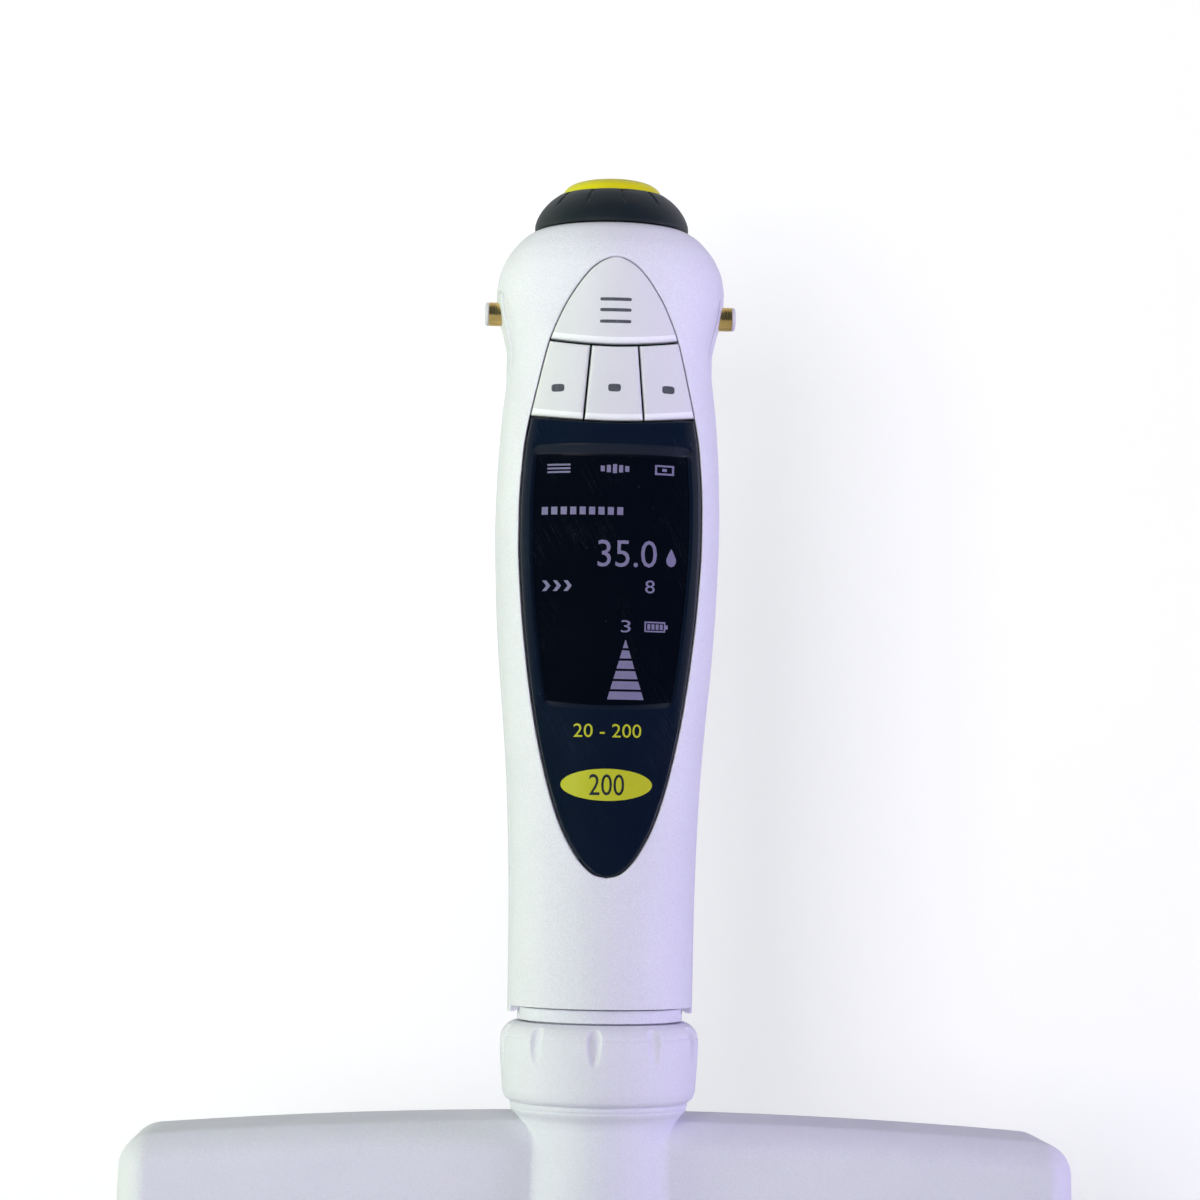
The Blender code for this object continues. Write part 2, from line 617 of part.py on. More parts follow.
# Window, buttons and keys
key_finish = (0.70, 0.70, 0.73)
operating_button = front_skin("operating_button", button_outline(-KEY_GAP / 2), KEY_PROUD, KEY_THICK,
                              material("operating_button", key_finish, 0.38))
combine(operating_button, rod("button_plunger", PLUNGER_RADIUS,
                              (0, skin_y(0, BUTTON_PLUNGER_Z, KEY_THICK / 2), BUTTON_PLUNGER_Z),
                              (0, BOARD_Y[0] - SWITCH_GAP - BUTTON_TRAVEL, BUTTON_PLUNGER_Z)), "UNION")
key_middle_z = (BUTTON_FOOT_Z + KEY_FOOT_Z) / 2
for side, label in ((-1, "left"), (0, "middle"), (1, "right")):
    key = front_skin("soft_key_" + label, key_outline(side), KEY_PROUD, KEY_THICK,
                     material("soft_key", key_finish, 0.38))
    x = side * KEY_PLUNGER_X
    combine(key, rod("key_plunger_" + label, KEY_PLUNGER_RADIUS,
                     (x, skin_y(x, key_middle_z, KEY_THICK / 2), key_middle_z),
                     (x, BOARD_Y[0] - SWITCH_GAP - KEY_TRAVEL, key_middle_z)), "UNION")

display_window = front_skin("display_window", window_outline(-HOLE_CLEAR), 0.0, WINDOW_THICK,
                            material("display_window", (0.006, 0.010, 0.024), 0.08))


def screen_outline(shrink):
    """The display's field in the window: straight top, curved sides and foot."""
    top, foot = SCREEN_TOP_Z - shrink, SCREEN_FOOT_Z + shrink
    right = []
    for k in range(9):
        z = top + (foot - top) * k / 8
        right.append((between(OGIVE, z) - SCREEN_MARGIN - shrink, z))
    across = arc_points(right[-1][0], -right[-1][0], foot - SCREEN_FOOT_SAG, SCREEN_FOOT_CURVE, 6)[1:-1]
    left = [(-x, z) for x, z in reversed(right)]
    return right + across + left


screen_tool = loft("screen_hollow", [[(x, SKIN_REACH[0], z) for x, z in screen_outline(-0.0012)],
                                     [(x, SKIN_REACH[1], z) for x, z in screen_outline(0.0004)]])
combine(screen_tool, handle_solid("screen_floor", SCREEN_DEPTH), "DIFFERENCE")
combine(display_window, screen_tool)

display_module = box("display_module", (-PANEL_HALF, PANEL_HALF), (PANEL_FRONT_Y, BOARD_Y[0] - 0.00005),
                     (SCREEN_FOOT_Z + 0.0007, SCREEN_TOP_Z + 0.0009),
                     material("display_module", (0.10, 0.13, 0.16), 0.3))
circuit_board = box("circuit_board", (-BOARD_HALF, BOARD_HALF), BOARD_Y, BOARD_Z,
                    material("circuit_board", (0.02, 0.16, 0.07), 0.5))
battery_pack = bevel(box("battery_pack", (-CELL_HALF, CELL_HALF), CELL_Y, CELL_Z,
                         material("battery_pack", (0.05, 0.10, 0.35), 0.45)), 0.0012)

# Wheel, push button and its sensor
adjustment_wheel = turned("adjustment_wheel", [
    (WHEEL_RADIUS, WHEEL_FOOT_Z), (WHEEL_RADIUS + 0.00005, WHEEL_FOOT_Z + 0.0005),
    (WHEEL_RADIUS - 0.00025, WHEEL_FOOT_Z + 0.0012), (WHEEL_RADIUS - 0.0014, WHEEL_FOOT_Z + 0.0028),
    (WHEEL_TOP_RADIUS + 0.0002, WHEEL_TOP_Z - 0.0002), (WHEEL_TOP_RADIUS, WHEEL_TOP_Z),
    (DOME_RADIUS + DOME_CLEAR, WHEEL_TOP_Z - 0.0001), (DOME_RADIUS + DOME_CLEAR, HUB_FOOT_Z),
    (HUB_RADIUS, HUB_FOOT_Z), (HUB_RADIUS, WHEEL_FOOT_Z)],
    material("adjustment_wheel", (0.012, 0.018, 0.022), 0.45), 24)
for k in range(WHEEL_NOTCHES):
    angle = 2 * math.pi * (k + 0.25) / WHEEL_NOTCHES
    foot = Vector((math.cos(angle), math.sin(angle), 0)) * (WHEEL_RADIUS - 0.0013)
    top = Vector((math.cos(angle), math.sin(angle), 0)) * (WHEEL_TOP_RADIUS - 0.0003)
    foot.z = WHEEL_FOOT_Z + 0.0028
    top.z = WHEEL_TOP_Z + 0.0003
    combine(adjustment_wheel, rod("wheel_notch_%02d" % k, WHEEL_NOTCH / 2, foot, top, segments=6))

dome = [(0, WHEEL_TOP_Z + DOME_RISE)]
for k in range(1, 7):
    share = k / 6
    dome.append((DOME_RADIUS * share, WHEEL_TOP_Z + DOME_RISE * (1 - share ** 2.6) - 0.0002 * share))
ejector_button = turned("ejector_button", dome + [
    (DOME_RADIUS, DOME_SKIRT_Z), (PLUNGER_RADIUS, DOME_SKIRT_Z), (PLUNGER_RADIUS, HUB_FOOT_Z - 0.0004),
    (0, HUB_FOOT_Z - 0.0004)], material("ejector_button", (0.78, 0.70, 0.02), 0.4), 24)

encoder_block = turned("encoder_block", [
    (SENSOR_RADIUS, HUB_FOOT_Z - 0.0001), (SENSOR_RADIUS, HUB_FOOT_Z - 0.0001 - SENSOR_THICK),
    (0, HUB_FOOT_Z - 0.0001 - SENSOR_THICK), (0, HUB_FOOT_Z - 0.0006 - EJECT_TRAVEL),
    (PLUNGER_RADIUS + HOLE_CLEAR, HUB_FOOT_Z - 0.0006 - EJECT_TRAVEL),
    (PLUNGER_RADIUS + HOLE_CLEAR, HUB_FOOT_Z - 0.0001)],
    material("encoder_block", (0.03, 0.03, 0.03), 0.6), 24)

# Charging contacts
for side, label in ((-1, "left"), (1, "right")):
    rod("contact_" + label, PIN_RADIUS, (side * PIN_ROOT_X, 0, 0), (side * PIN_END_X, 0, 0),
        material("contact_gold", (0.72, 0.50, 0.18), 0.25, 1.0))
    cap = rod("contact_cap_" + label, PIN_RADIUS, (side * (PIN_END_X + TOUCH), 0, 0),
              (side * (PIN_END_X + CAP_LENGTH), 0, 0), material("contact_cap", (0.75, 0.74, 0.76), 0.35))
    bevel(cap, 0.0003, 1)

# Finger hook
hook_finish = white("finger_hook")
hook_rings = []
for y, z, half_thick in HOOK_ARM:
    hook_rings.append((y, z, half_thick))
arm = []
for k, (y, z, half_thick) in enumerate(hook_rings):
    before = hook_rings[max(0, k - 1)]
    after = hook_rings[min(len(hook_rings) - 1, k + 1)]
    along = Vector((0, after[0] - before[0], after[1] - before[1])).normalized()
    up = Vector((0, -along.z, along.y))
    half_wide = HOOK_HALF_WIDTH * (1.0 if k < 5 else (0.93 if k == 5 else 0.72))
    section = []
    for j in range(16):
        angle = 2 * math.pi * (j + 0.5) / 16
        c, s = math.cos(angle), math.sin(angle)
        across = math.copysign(abs(c) ** 0.55, c) * half_wide
        high = math.copysign(abs(s) ** 0.75, s) * half_thick
        section.append(Vector((across, y, z)) + up * high)
    arm.append(section)
finger_hook = smooth(loft("finger_hook", arm, hook_finish))


def sector(name, radii, heights, half_angle, count):
    """A piece of a ring about the handle's axis, behind the handle."""
    rings = []
    arc = [math.pi / 2 - half_angle + 2 * half_angle * k / count for k in range(count + 1)]
    for z in heights:
        ring = [(radii[1] * math.cos(a), radii[1] * math.sin(a), z) for a in arc]
        ring += [(radii[0] * math.cos(a), radii[0] * math.sin(a), z) for a in reversed(arc)]
        rings.append(ring)
    return loft(name, rings)


base_radii = (HOOK_BASE_R, HOOK_BASE_R + HOOK_BASE_THICK)
base = sector("hook_base", base_radii, HOOK_BASE_Z, math.radians(HOOK_ARC), 8)
tongue = box("hook_tongue", (-HOOK_TONGUE_HALF, HOOK_TONGUE_HALF),
             (HOOK_FOOT_R[0] + 0.0002, HOOK_BASE_R + 0.0006),
             (HOOK_SLOT_Z[0] + HOLE_CLEAR, HOOK_SLOT_Z[1] - HOLE_CLEAR))
heel_z = (HOOK_SLOT_Z[0] - HOOK_HEEL_DROP, HOOK_SLOT_Z[1] - HOLE_CLEAR)
heel = sector("hook_heel", HOOK_FOOT_R, heel_z, math.radians(HOOK_HEEL_ARC), 8)
trim = rod("hook_trim", HOOK_BASE_R + 0.0005, (0, 0, -CUT_REACH), (0, 0, CUT_REACH), segments=60)
combine(finger_hook, trim)
combine(finger_hook, base, "UNION")
combine(finger_hook, tongue, "UNION")
combine(finger_hook, heel, "UNION")

# Drive
drive_motor = turned("drive_motor", [
    (0, MOTOR_Z[1] + 0.0012), (0.0017, MOTOR_Z[1] + 0.0012), (0.0017, MOTOR_Z[1]),
    (MOTOR_RADIUS - 0.0004, MOTOR_Z[1]), (MOTOR_RADIUS, MOTOR_Z[1] - 0.0004), (MOTOR_RADIUS, MOTOR_Z[0]),
    (GEAR_RADIUS, MOTOR_Z[0] - 0.0003), (GEAR_RADIUS, GEAR_FOOT_Z), (0, GEAR_FOOT_Z)],
    material("drive_motor", (0.55, 0.56, 0.58), 0.3, 1.0), 24)
bracket_top = GEAR_FOOT_Z - BRACKET_TOUCH
bracket_foot = bracket_top - BRACKET_THICK
motor_bracket = bevel(box("motor_bracket", (-BRACKET_HALF, BRACKET_HALF),
                          (BOARD_Y[1] + 0.0001, BRACKET_REAR_Y), (bracket_foot, bracket_top),
                          material("motor_bracket", (0.05, 0.05, 0.055), 0.5)), 0.0005)
combine(motor_bracket, rod("bracket_bore", SCREW_RADIUS + SCREW_CLEAR, (0, 0, bracket_foot - 0.004),
                           (0, 0, bracket_top + 0.002)))
screw_top = GEAR_FOOT_Z - TOUCH
thread_top = bracket_foot - 0.0010
groove = (thread_top - SCREW_FOOT_Z) / SCREW_GROOVES
thread = [(0, screw_top), (SCREW_RADIUS, screw_top), (SCREW_RADIUS, thread_top)]
for k in range(SCREW_GROOVES):
    z = thread_top - groove * (k + 0.5)
    thread += [(SCREW_RADIUS - SCREW_GROOVE, z + groove * 0.2),
               (SCREW_RADIUS - SCREW_GROOVE, z - groove * 0.2), (SCREW_RADIUS, z - groove * 0.3)]
thread += [(SCREW_RADIUS, SCREW_FOOT_Z), (0, SCREW_FOOT_Z)]
lead_screw = turned("lead_screw", thread, material("lead_screw", (0.60, 0.60, 0.62), 0.25, 1.0), 12)
rod_bore_foot = SCREW_FOOT_Z - STROKE - 0.0015
rod_foot = BAR_Z[0] + 0.0020
push_rod = turned("push_rod", [
    (ROD_RADIUS, ROD_TOP_Z), (ROD_RADIUS, rod_foot), (0, rod_foot), (0, rod_bore_foot),
    (SCREW_RADIUS + SCREW_CLEAR, rod_bore_foot), (SCREW_RADIUS + SCREW_CLEAR, ROD_TOP_Z)],
    material("push_rod", (0.62, 0.63, 0.65), 0.3, 1.0), 20)

base_ring = turned("base_ring", [
    (RING_PLUG_RADIUS, RING_PLUG_Z), (RING_PLUG_RADIUS, RING_Z[1]), (RING_RADIUS, RING_Z[1]),
    (RING_RADIUS, RING_Z[0]), (THREAD_RADIUS, RING_Z[0]), (THREAD_RADIUS, THREAD_FOOT_Z),
    (PILOT_RADIUS, THREAD_FOOT_Z), (PILOT_RADIUS, PILOT_FOOT_Z), (ROD_RADIUS + ROD_CLEAR, PILOT_FOOT_Z),
    (ROD_RADIUS + ROD_CLEAR, RING_PLUG_Z)], white("base_ring"), 24)

# Collar nut
collar_nut = turned("collar_nut", [
    (THREAD_RADIUS + TURN_CLEAR, NUT_Z[1]), (NUT_RADIUS - 0.0016, NUT_Z[1]),
    (NUT_RADIUS - 0.0008, NUT_Z[1] - 0.0004), (NUT_RADIUS - 0.0002, NUT_Z[1] - 0.0012),
    (NUT_RADIUS, NUT_Z[1] - 0.0020), (NUT_RADIUS, NUT_Z[1] - 0.0040),
    (NUT_RADIUS - 0.0003, NUT_Z[0] + 0.0014), (NUT_RADIUS - 0.0007, NUT_Z[0] + 0.0004),
    (NUT_RADIUS - 0.0013, NUT_Z[0]), (NECK_RADIUS + TURN_CLEAR, NUT_Z[0]),
    (NECK_RADIUS + TURN_CLEAR, NUT_Z[0] + NUT_LIP), (NECK_RIM_RADIUS + TURN_CLEAR, NUT_Z[0] + NUT_LIP),
    (NECK_RIM_RADIUS + TURN_CLEAR, THREAD_FOOT_Z), (THREAD_RADIUS + TURN_CLEAR, THREAD_FOOT_Z)],
    white("collar_nut"), 32)
for k in range(NUT_FLUTES):
    angle = math.radians(-90 + NUT_FLUTE_TURN + 360 * k / NUT_FLUTES)
    reach = Vector((math.cos(angle), math.sin(angle), 0))
    upper = reach * (NUT_RADIUS + NUT_FLUTE_OFFSET[0])
    lower = reach * (NUT_RADIUS + NUT_FLUTE_OFFSET[1])
    upper.z = NUT_Z[1] - NUT_FLUTE_DROP[0]
    lower.z = NUT_Z[1] - NUT_FLUTE_DROP[1]
    combine(collar_nut, rod("nut_flute_%02d" % k, NUT_FLUTE_RADIUS, upper, lower, segments=12))

# Manifold housing


def housing_outline(inset, foot):
    """Front outline of the housing: arched top, rounded shoulders, sides that spread."""
    half = HOUSING_HALF - inset
    corner = HOUSING_CORNER - inset
    top = HOUSING_TOP_Z - inset
    spread = HOUSING_SPREAD * (HOUSING_TOP_Z - foot) / (HOUSING_TOP_Z - HOUSING_FOOT_Z)
    arch = [(x, top - x * x / (2 * HOUSING_ARCH)) for x in
            ((half - corner) * (k / 5) for k in range(6))]
    centre = (half - corner, arch[-1][1] - corner)
    bend = []
    for k in range(1, 6):
        angle = math.radians(90 - 90 * k / 5)
        bend.append((centre[0] + corner * math.cos(angle), centre[1] + corner * math.sin(angle)))
    right = arch + bend + [(half + spread, foot)]
    return right + [(-x, z) for x, z in reversed(right) if x > 0]


def rounded_housing(name, finish):
    """The housing's outline carried from front to rear, with its rims rounded over."""
    rings = []
    for face, inward in ((HOUSING_Y[0], 1), (HOUSING_Y[1], -1)):
        rim = []
        for k in range(5):
            angle = math.radians(90 * k / 4)
            outline = housing_outline(HOUSING_ROUND * (1 - math.sin(angle)), HOUSING_FOOT_Z - 0.010)
            y = face + inward * HOUSING_ROUND * (1 - math.cos(angle))
            rim.append([(x, y, z) for x, z in outline])
        rings += rim if inward > 0 else rim[::-1]
    return loft(name, rings, finish)


housing = rounded_housing("manifold_housing", white("manifold_housing"))
column = turned("column", [
    (NECK_RIM_RADIUS, NECK_RIM_Z[1]), (NECK_RIM_RADIUS, NECK_RIM_Z[0]), (NECK_RADIUS, NECK_RIM_Z[0]),
    (NECK_RADIUS, FLANGE_Z[1]), (FLANGE_RADIUS, FLANGE_Z[1]), (FLANGE_RADIUS, FLANGE_Z[0]),
    (FLANGE_RADIUS - 0.0006, FLANGE_Z[0] - 0.0005), (COLUMN_RADIUS + 0.0001, FLANGE_Z[0] - 0.0020),
    (COLUMN_RADIUS, COLUMN_TAPER_Z), (COLUMN_FOOT_RADIUS, HOUSING_FOOT_Z - 0.003), (0, HOUSING_FOOT_Z - 0.003),
    (0, NECK_RIM_Z[1])],
    segments=32)
combine(housing, column, "UNION")
combine(housing, box("foot_cut", (-2 * HOUSING_HALF, 2 * HOUSING_HALF), (-CUT_REACH, CUT_REACH),
                     (HOUSING_FOOT_Z - CUT_REACH, HOUSING_FOOT_Z)))
cavity_y = (HOUSING_Y[0] + HOUSING_WALL, HOUSING_Y[1] + 0.01)
cavity = prism("cavity", housing_outline(HOUSING_WALL, HOUSING_FOOT_Z - 0.012), cavity_y)
combine(housing, cavity)
combine(housing, rod("neck_bore", PILOT_RADIUS + TURN_CLEAR, (0, 0, NECK_RIM_Z[1] + 0.003),
                     (0, 0, HOUSING_TOP_Z - 0.0096), segments=32))

rear_y = (HOUSING_Y[1] - HOUSING_WALL, HOUSING_Y[1] - HOUSING_WALL + REAR_COVER_THICK)
rear_cover = prism("manifold_rear_cover", housing_outline(HOUSING_WALL + HOLE_CLEAR, HOUSING_FOOT_Z), rear_y,
                   white("manifold_rear_cover"))

# Piston bar, plates, ejector
grey = material("inner_plate", (0.20, 0.21, 0.22), 0.5)
channel_x = [PITCH * (k - (CHANNELS - 1) / 2) for k in range(CHANNELS)]


def drilled(name, half, depth, z, clear, holes, finish, rounding=0.0):
    """A bar across the manifold with a hole for each cylinder and one for each (x, radius) in holes."""
    plate = box(name, (-half, half), (CHANNEL_Y - depth, CHANNEL_Y + depth), z, finish)
    if rounding:
        bevel(plate, rounding, 2, 60.0)
    for k, (x, radius) in enumerate([(x, CYLINDER_RADIUS + clear) for x in channel_x] + holes):
        combine(plate, rod(name + "_hole_%02d" % k, radius, (x, CHANNEL_Y, z[0] - 0.001),
                           (x, CHANNEL_Y, z[1] + 0.001), segments=CONE_SIDES))
    return plate


inner_depth = HOUSING_Y[1] - HOUSING_WALL - CHANNEL_Y - HOLE_CLEAR
rod_holes = [(side * EJECTOR_ROD_X, EJECTOR_ROD_RADIUS + HOLE_CLEAR) for side in (-1, 1)]
drilled("guide_plate", PLATE_HALF, inner_depth, GUIDE_Z, HOLE_CLEAR, rod_holes, grey)
drilled("cone_plate", PLATE_HALF, inner_depth, PLATE_Z, HOLE_CLEAR, rod_holes, grey)
drilled("ejector_bar", EJECTOR_HALF, EJECTOR_HALF_DEPTH, EJECTOR_Z, 2 * HOLE_CLEAR, [], white("ejector_bar"),
        0.0007)

piston_bar = box("piston_bar", (-BAR_HALF, BAR_HALF), (CHANNEL_Y - BAR_HALF_DEPTH, CHANNEL_Y + BAR_HALF_DEPTH),
                 BAR_Z, material("piston_bar", (0.62, 0.63, 0.65), 0.35, 1.0))
combine(piston_bar, rod("bar_socket", ROD_RADIUS + TOUCH, (0, 0, rod_foot - TOUCH),
                        (0, 0, BAR_Z[1] + 0.002)))

cone_finish = material("tip_cone", (0.55, 0.56, 0.57), 0.35)
steel = material("piston", (0.66, 0.66, 0.68), 0.2, 1.0)
bore = PISTON_RADIUS + BORE_CLEAR
for k, x in enumerate(channel_x, 1):
    turned("piston_%02d" % k, [(0, BAR_Z[0] - TOUCH), (PISTON_RADIUS, BAR_Z[0] - TOUCH),
                               (PISTON_RADIUS, PISTON_FOOT_Z), (0, PISTON_FOOT_Z)],
           steel, CONE_SIDES, (x, CHANNEL_Y, 0))
    turned("tip_cone_%02d" % k, [
        (CYLINDER_RADIUS, CYLINDER_TOP_Z), (CYLINDER_RADIUS, CONE_FLANGE_Z[1]),
        (CONE_FLANGE_RADIUS, CONE_FLANGE_Z[1]), (CONE_FLANGE_RADIUS, CONE_FLANGE_Z[0]),
        (CYLINDER_RADIUS, CONE_FLANGE_Z[0]), (CYLINDER_RADIUS, CONE_NECK_Z),
        (CONE_TIP_RADIUS, CONE_TIP_Z), (CONE_HOLE, CONE_TIP_Z), (CONE_HOLE, BORE_FOOT_Z),
        (bore, BORE_FOOT_Z), (bore, CYLINDER_TOP_Z)], cone_finish, CONE_SIDES, (x, CHANNEL_Y, 0))

for side, label in ((-1, "left"), (1, "right")):
    x = side * EJECTOR_ROD_X
    turned("ejector_rod_" + label, [
        (EJECTOR_HEAD_RADIUS, EJECTOR_HEAD_Z[1]), (EJECTOR_HEAD_RADIUS, EJECTOR_HEAD_Z[0]),
        (EJECTOR_ROD_RADIUS, EJECTOR_HEAD_Z[0]), (EJECTOR_ROD_RADIUS, EJECTOR_Z[1] + TOUCH),
        (0, EJECTOR_Z[1] + TOUCH), (0, EJECTOR_HEAD_Z[1])], steel, 12, (x, CHANNEL_Y, 0))
    path = bpy.data.curves.new("ejector_spring_" + label, "CURVE")
    path.dimensions = "3D"
    path.bevel_depth = SPRING_WIRE
    path.bevel_resolution = 1
    path.use_fill_caps = True
    coil = path.splines.new("POLY")
    count = SPRING_TURNS * 7
    coil.points.add(count)
    low = GUIDE_Z[1] + SPRING_WIRE + TOUCH
    high = EJECTOR_HEAD_Z[0] - SPRING_WIRE - TOUCH
    coil_radius = EJECTOR_ROD_RADIUS + HOLE_CLEAR + SPRING_WIRE
    for j, point in enumerate(coil.points):
        angle = 2 * math.pi * SPRING_TURNS * j / count
        height = low + (high - low) * j / count
        point.co = (coil_radius * math.cos(angle), coil_radius * math.sin(angle), height, 1)
    path.materials.append(material("ejector_spring", (0.6, 0.6, 0.62), 0.25, 1.0))
    spring = bpy.data.objects.new("ejector_spring_" + label, path)
    spring.location = (x, CHANNEL_Y, 0)
    parts.objects.link(spring)
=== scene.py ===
"""Looks of a handheld electronic twelve channel pipette, laid out as a Blender add-on.

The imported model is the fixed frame. The surfaces here are worked out in millimetres and stand
in the same place as the solids that they replace. The front with the display faces -Y.
"""
import math

import bmesh
import bpy
import numpy as np
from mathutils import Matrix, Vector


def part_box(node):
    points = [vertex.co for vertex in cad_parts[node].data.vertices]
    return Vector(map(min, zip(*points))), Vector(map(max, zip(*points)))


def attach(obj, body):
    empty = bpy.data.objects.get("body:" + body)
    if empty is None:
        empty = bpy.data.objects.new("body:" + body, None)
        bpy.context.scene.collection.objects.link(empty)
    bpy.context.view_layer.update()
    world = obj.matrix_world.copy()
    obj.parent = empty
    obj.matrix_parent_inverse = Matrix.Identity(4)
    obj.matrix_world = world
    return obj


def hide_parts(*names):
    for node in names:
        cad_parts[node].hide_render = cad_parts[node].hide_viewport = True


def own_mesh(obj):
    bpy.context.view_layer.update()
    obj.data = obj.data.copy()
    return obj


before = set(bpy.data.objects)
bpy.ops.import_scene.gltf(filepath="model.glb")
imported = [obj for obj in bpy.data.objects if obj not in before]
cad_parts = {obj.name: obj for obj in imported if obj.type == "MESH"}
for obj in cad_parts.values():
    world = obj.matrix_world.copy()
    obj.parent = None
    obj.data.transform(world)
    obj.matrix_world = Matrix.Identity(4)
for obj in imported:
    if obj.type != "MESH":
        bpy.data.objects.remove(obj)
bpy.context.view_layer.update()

bl_info = {
    "name": "Twelve channel pipette",
    "version": (1, 0, 0),
    "blender": (4, 5, 0),
    "location": "View3D > Sidebar > Pipette",
    "description": "Builds the surfaces, finishes and studio of an electronic pipette",
    "category": "Object",
}

MM = 0.001

# Handle: height, half width, front depth, rear depth and squareness of the section, in mm.
HANDLE = (
    (10.3, 9.95, 9.95, 9.95, 2.0), (9.7, 10.95, 10.9, 10.95, 2.0), (8.5, 12.15, 12.05, 12.15, 2.0),
    (7.0, 13.25, 13.1, 13.25, 2.0), (4.7, 14.15, 13.85, 14.15, 2.0), (2.2, 14.45, 14.0, 14.45, 2.0),
    (0.0, 14.25, 13.85, 14.2, 2.05), (-2.7, 13.55, 13.55, 13.8, 2.1), (-5.3, 13.05, 13.35, 13.4, 2.2),
    (-8.5, 13.05, 13.25, 13.1, 2.3), (-13.0, 13.5, 13.2, 13.0, 2.4), (-20.0, 13.95, 13.1, 13.05, 2.5),
    (-27.0, 14.12, 12.95, 13.1, 2.5), (-35.0, 13.9, 12.75, 13.0, 2.5), (-43.0, 13.45, 12.45, 12.8, 2.45),
    (-51.0, 12.75, 12.15, 12.5, 2.4), (-59.0, 12.15, 11.85, 12.2, 2.3), (-67.0, 11.8, 11.65, 11.9, 2.2),
    (-76.0, 11.6, 11.55, 11.65, 2.1), (-86.8, 11.55, 11.5, 11.55, 2.0),
)
WALL = 1.8
DECK_FOOT = 8.3
DECK_BORE = 7.5
DECK_SHARES = (1.0, 0.55, 0.15)
SPLIT = -2.6
SPLIT_GAP = 0.3
SPLIT_ROUND = 0.18
SIDE_REACH = 13.0
REAR_SKIRT = 0.8

# Outline of buttons and window together: height and half width, in mm.
OGIVE = (
    (5.35, 0.0), (5.28, 0.62), (5.1, 1.15), (4.75, 1.85), (4.2, 2.62), (3.5, 3.36), (1.5, 4.9), (-1.0, 6.4),
    (-4.8, 8.0), (-10.0, 9.3), (-14.6, 10.3), (-18.4, 10.9), (-25.8, 11.33), (-29.4, 11.33), (-36.7, 10.94),
    (-44.0, 10.2), (-51.3, 9.15), (-58.6, 7.6), (-64.0, 5.95), (-67.8, 4.05), (-69.8, 2.45), (-70.6, 1.3),
    (-70.85, 0.0),
)
APEX, TIP = OGIVE[0][0], OGIVE[-1][0]
BUTTON_FOOT, BUTTON_BEND = -5.4, 0.0136
KEY_FOOT, KEY_BEND = -14.9, 0.0085
KEY_GAP, KEY_ROW_GAP = 0.25, 0.4
KEY_SPLIT_TOP, KEY_SPLIT_FOOT = 2.9, 3.7
KEY_PROUD, KEY_THICK = 0.2, 1.4
PRINT_LIFT, PRINT_THICK = 0.012, 0.03
BUTTON_PIN_Z, BUTTON_PIN_STOP = -1.5, -8.2
KEY_PIN_Z, KEY_PIN_STOP = -10.15, -7.85
FIELD_TOP, SCREEN_TOP, SCREEN_FOOT = -17.85, -19.0, -49.8
SCREEN_SIDE, SCREEN_DEPTH, SCREEN_BEND = 1.7, 0.45, 0.009
WINDOW_THICK, WINDOW_ROUND = 0.95, 0.28

POCKET_HALF, POCKET_MIDDLE, POCKET_RISE, POCKET_FALL = 6.3, -1.4, 4.3, 8.2
COVER_HALF, COVER_FOOT, COVER_TOP, COVER_CORNER, COVER_THICK = 7.6, -79.0, -38.0, 3.0, 1.6
HOOK_SLOT_FOOT, HOOK_SLOT_TOP = 3.1, 6.1
HOOK_SLOT_REACH = math.radians(57.4)
FIT = 0.15

# Finger hook along its middle: distance behind the axis, height, half thickness, half width.
HOOK_ARM = (
    (15.2, 3.6, 3.0, 6.2), (19.0, 5.4, 2.4, 6.2), (24.0, 6.2, 2.1, 6.2), (30.0, 5.7, 1.9, 6.2),
    (35.5, 3.6, 1.8, 6.2), (39.5, 0.2, 1.7, 5.8), (41.0, -3.1, 1.5, 5.0),
)

WHEEL_TOP = 14.9
CHANNELS, PITCH, ROW_Y, ROD_X = 12, 9.0, 4.65, 55.0
SPRING_SEAT, SPRING_FOOT, SPRING_RISE = -134.5, -134.2, 6.7
SPRING_TURNS, SPRING_RADIUS, SPRING_WIRE, SPRING_KEEP = 5, 1.6, 0.25, 0.45
CASE_HALF, CASE_SPREAD, CASE_TOP, CASE_FOOT = 59.4, 1.0, -100.85, -156.0
CASE_FRONT, CASE_REAR = -6.35, 15.65
CASE_CORNER, CASE_ROUND, CASE_WALL, CASE_ARCH = 4.2, 3.1, 1.8, 706.1

# Front column of the manifold: radius and height.
COLUMN = (
    (10.8, -99.3), (11.0, -99.55), (10.75, -99.95), (10.3, -100.35), (9.92, -100.85), (9.72, -101.6),
    (9.7, -103.0), (9.8, -106.0), (9.9, -110.0), (9.3, CASE_FOOT),
)


class PipetteSizes(bpy.types.PropertyGroup):
    """Small sizes of the moulded parts."""

    rim_round: bpy.props.FloatProperty(
        name="Opening rim", description="Rounding of the casing's edge around keys and window",
        default=0.28 * MM, unit="LENGTH")
    key_round: bpy.props.FloatProperty(
        name="Key edge", description="Rounding of the keys' edges", default=0.34 * MM, unit="LENGTH")
    parting_line: bpy.props.FloatProperty(
        name="Parting line", description="Depth of the line round the collar nut",
        default=0.1 * MM, unit="LENGTH")
    backdrop_gap: bpy.props.FloatProperty(
        name="Backdrop gap", description="Room between the pipette and the backdrop",
        default=62 * MM, unit="LENGTH")


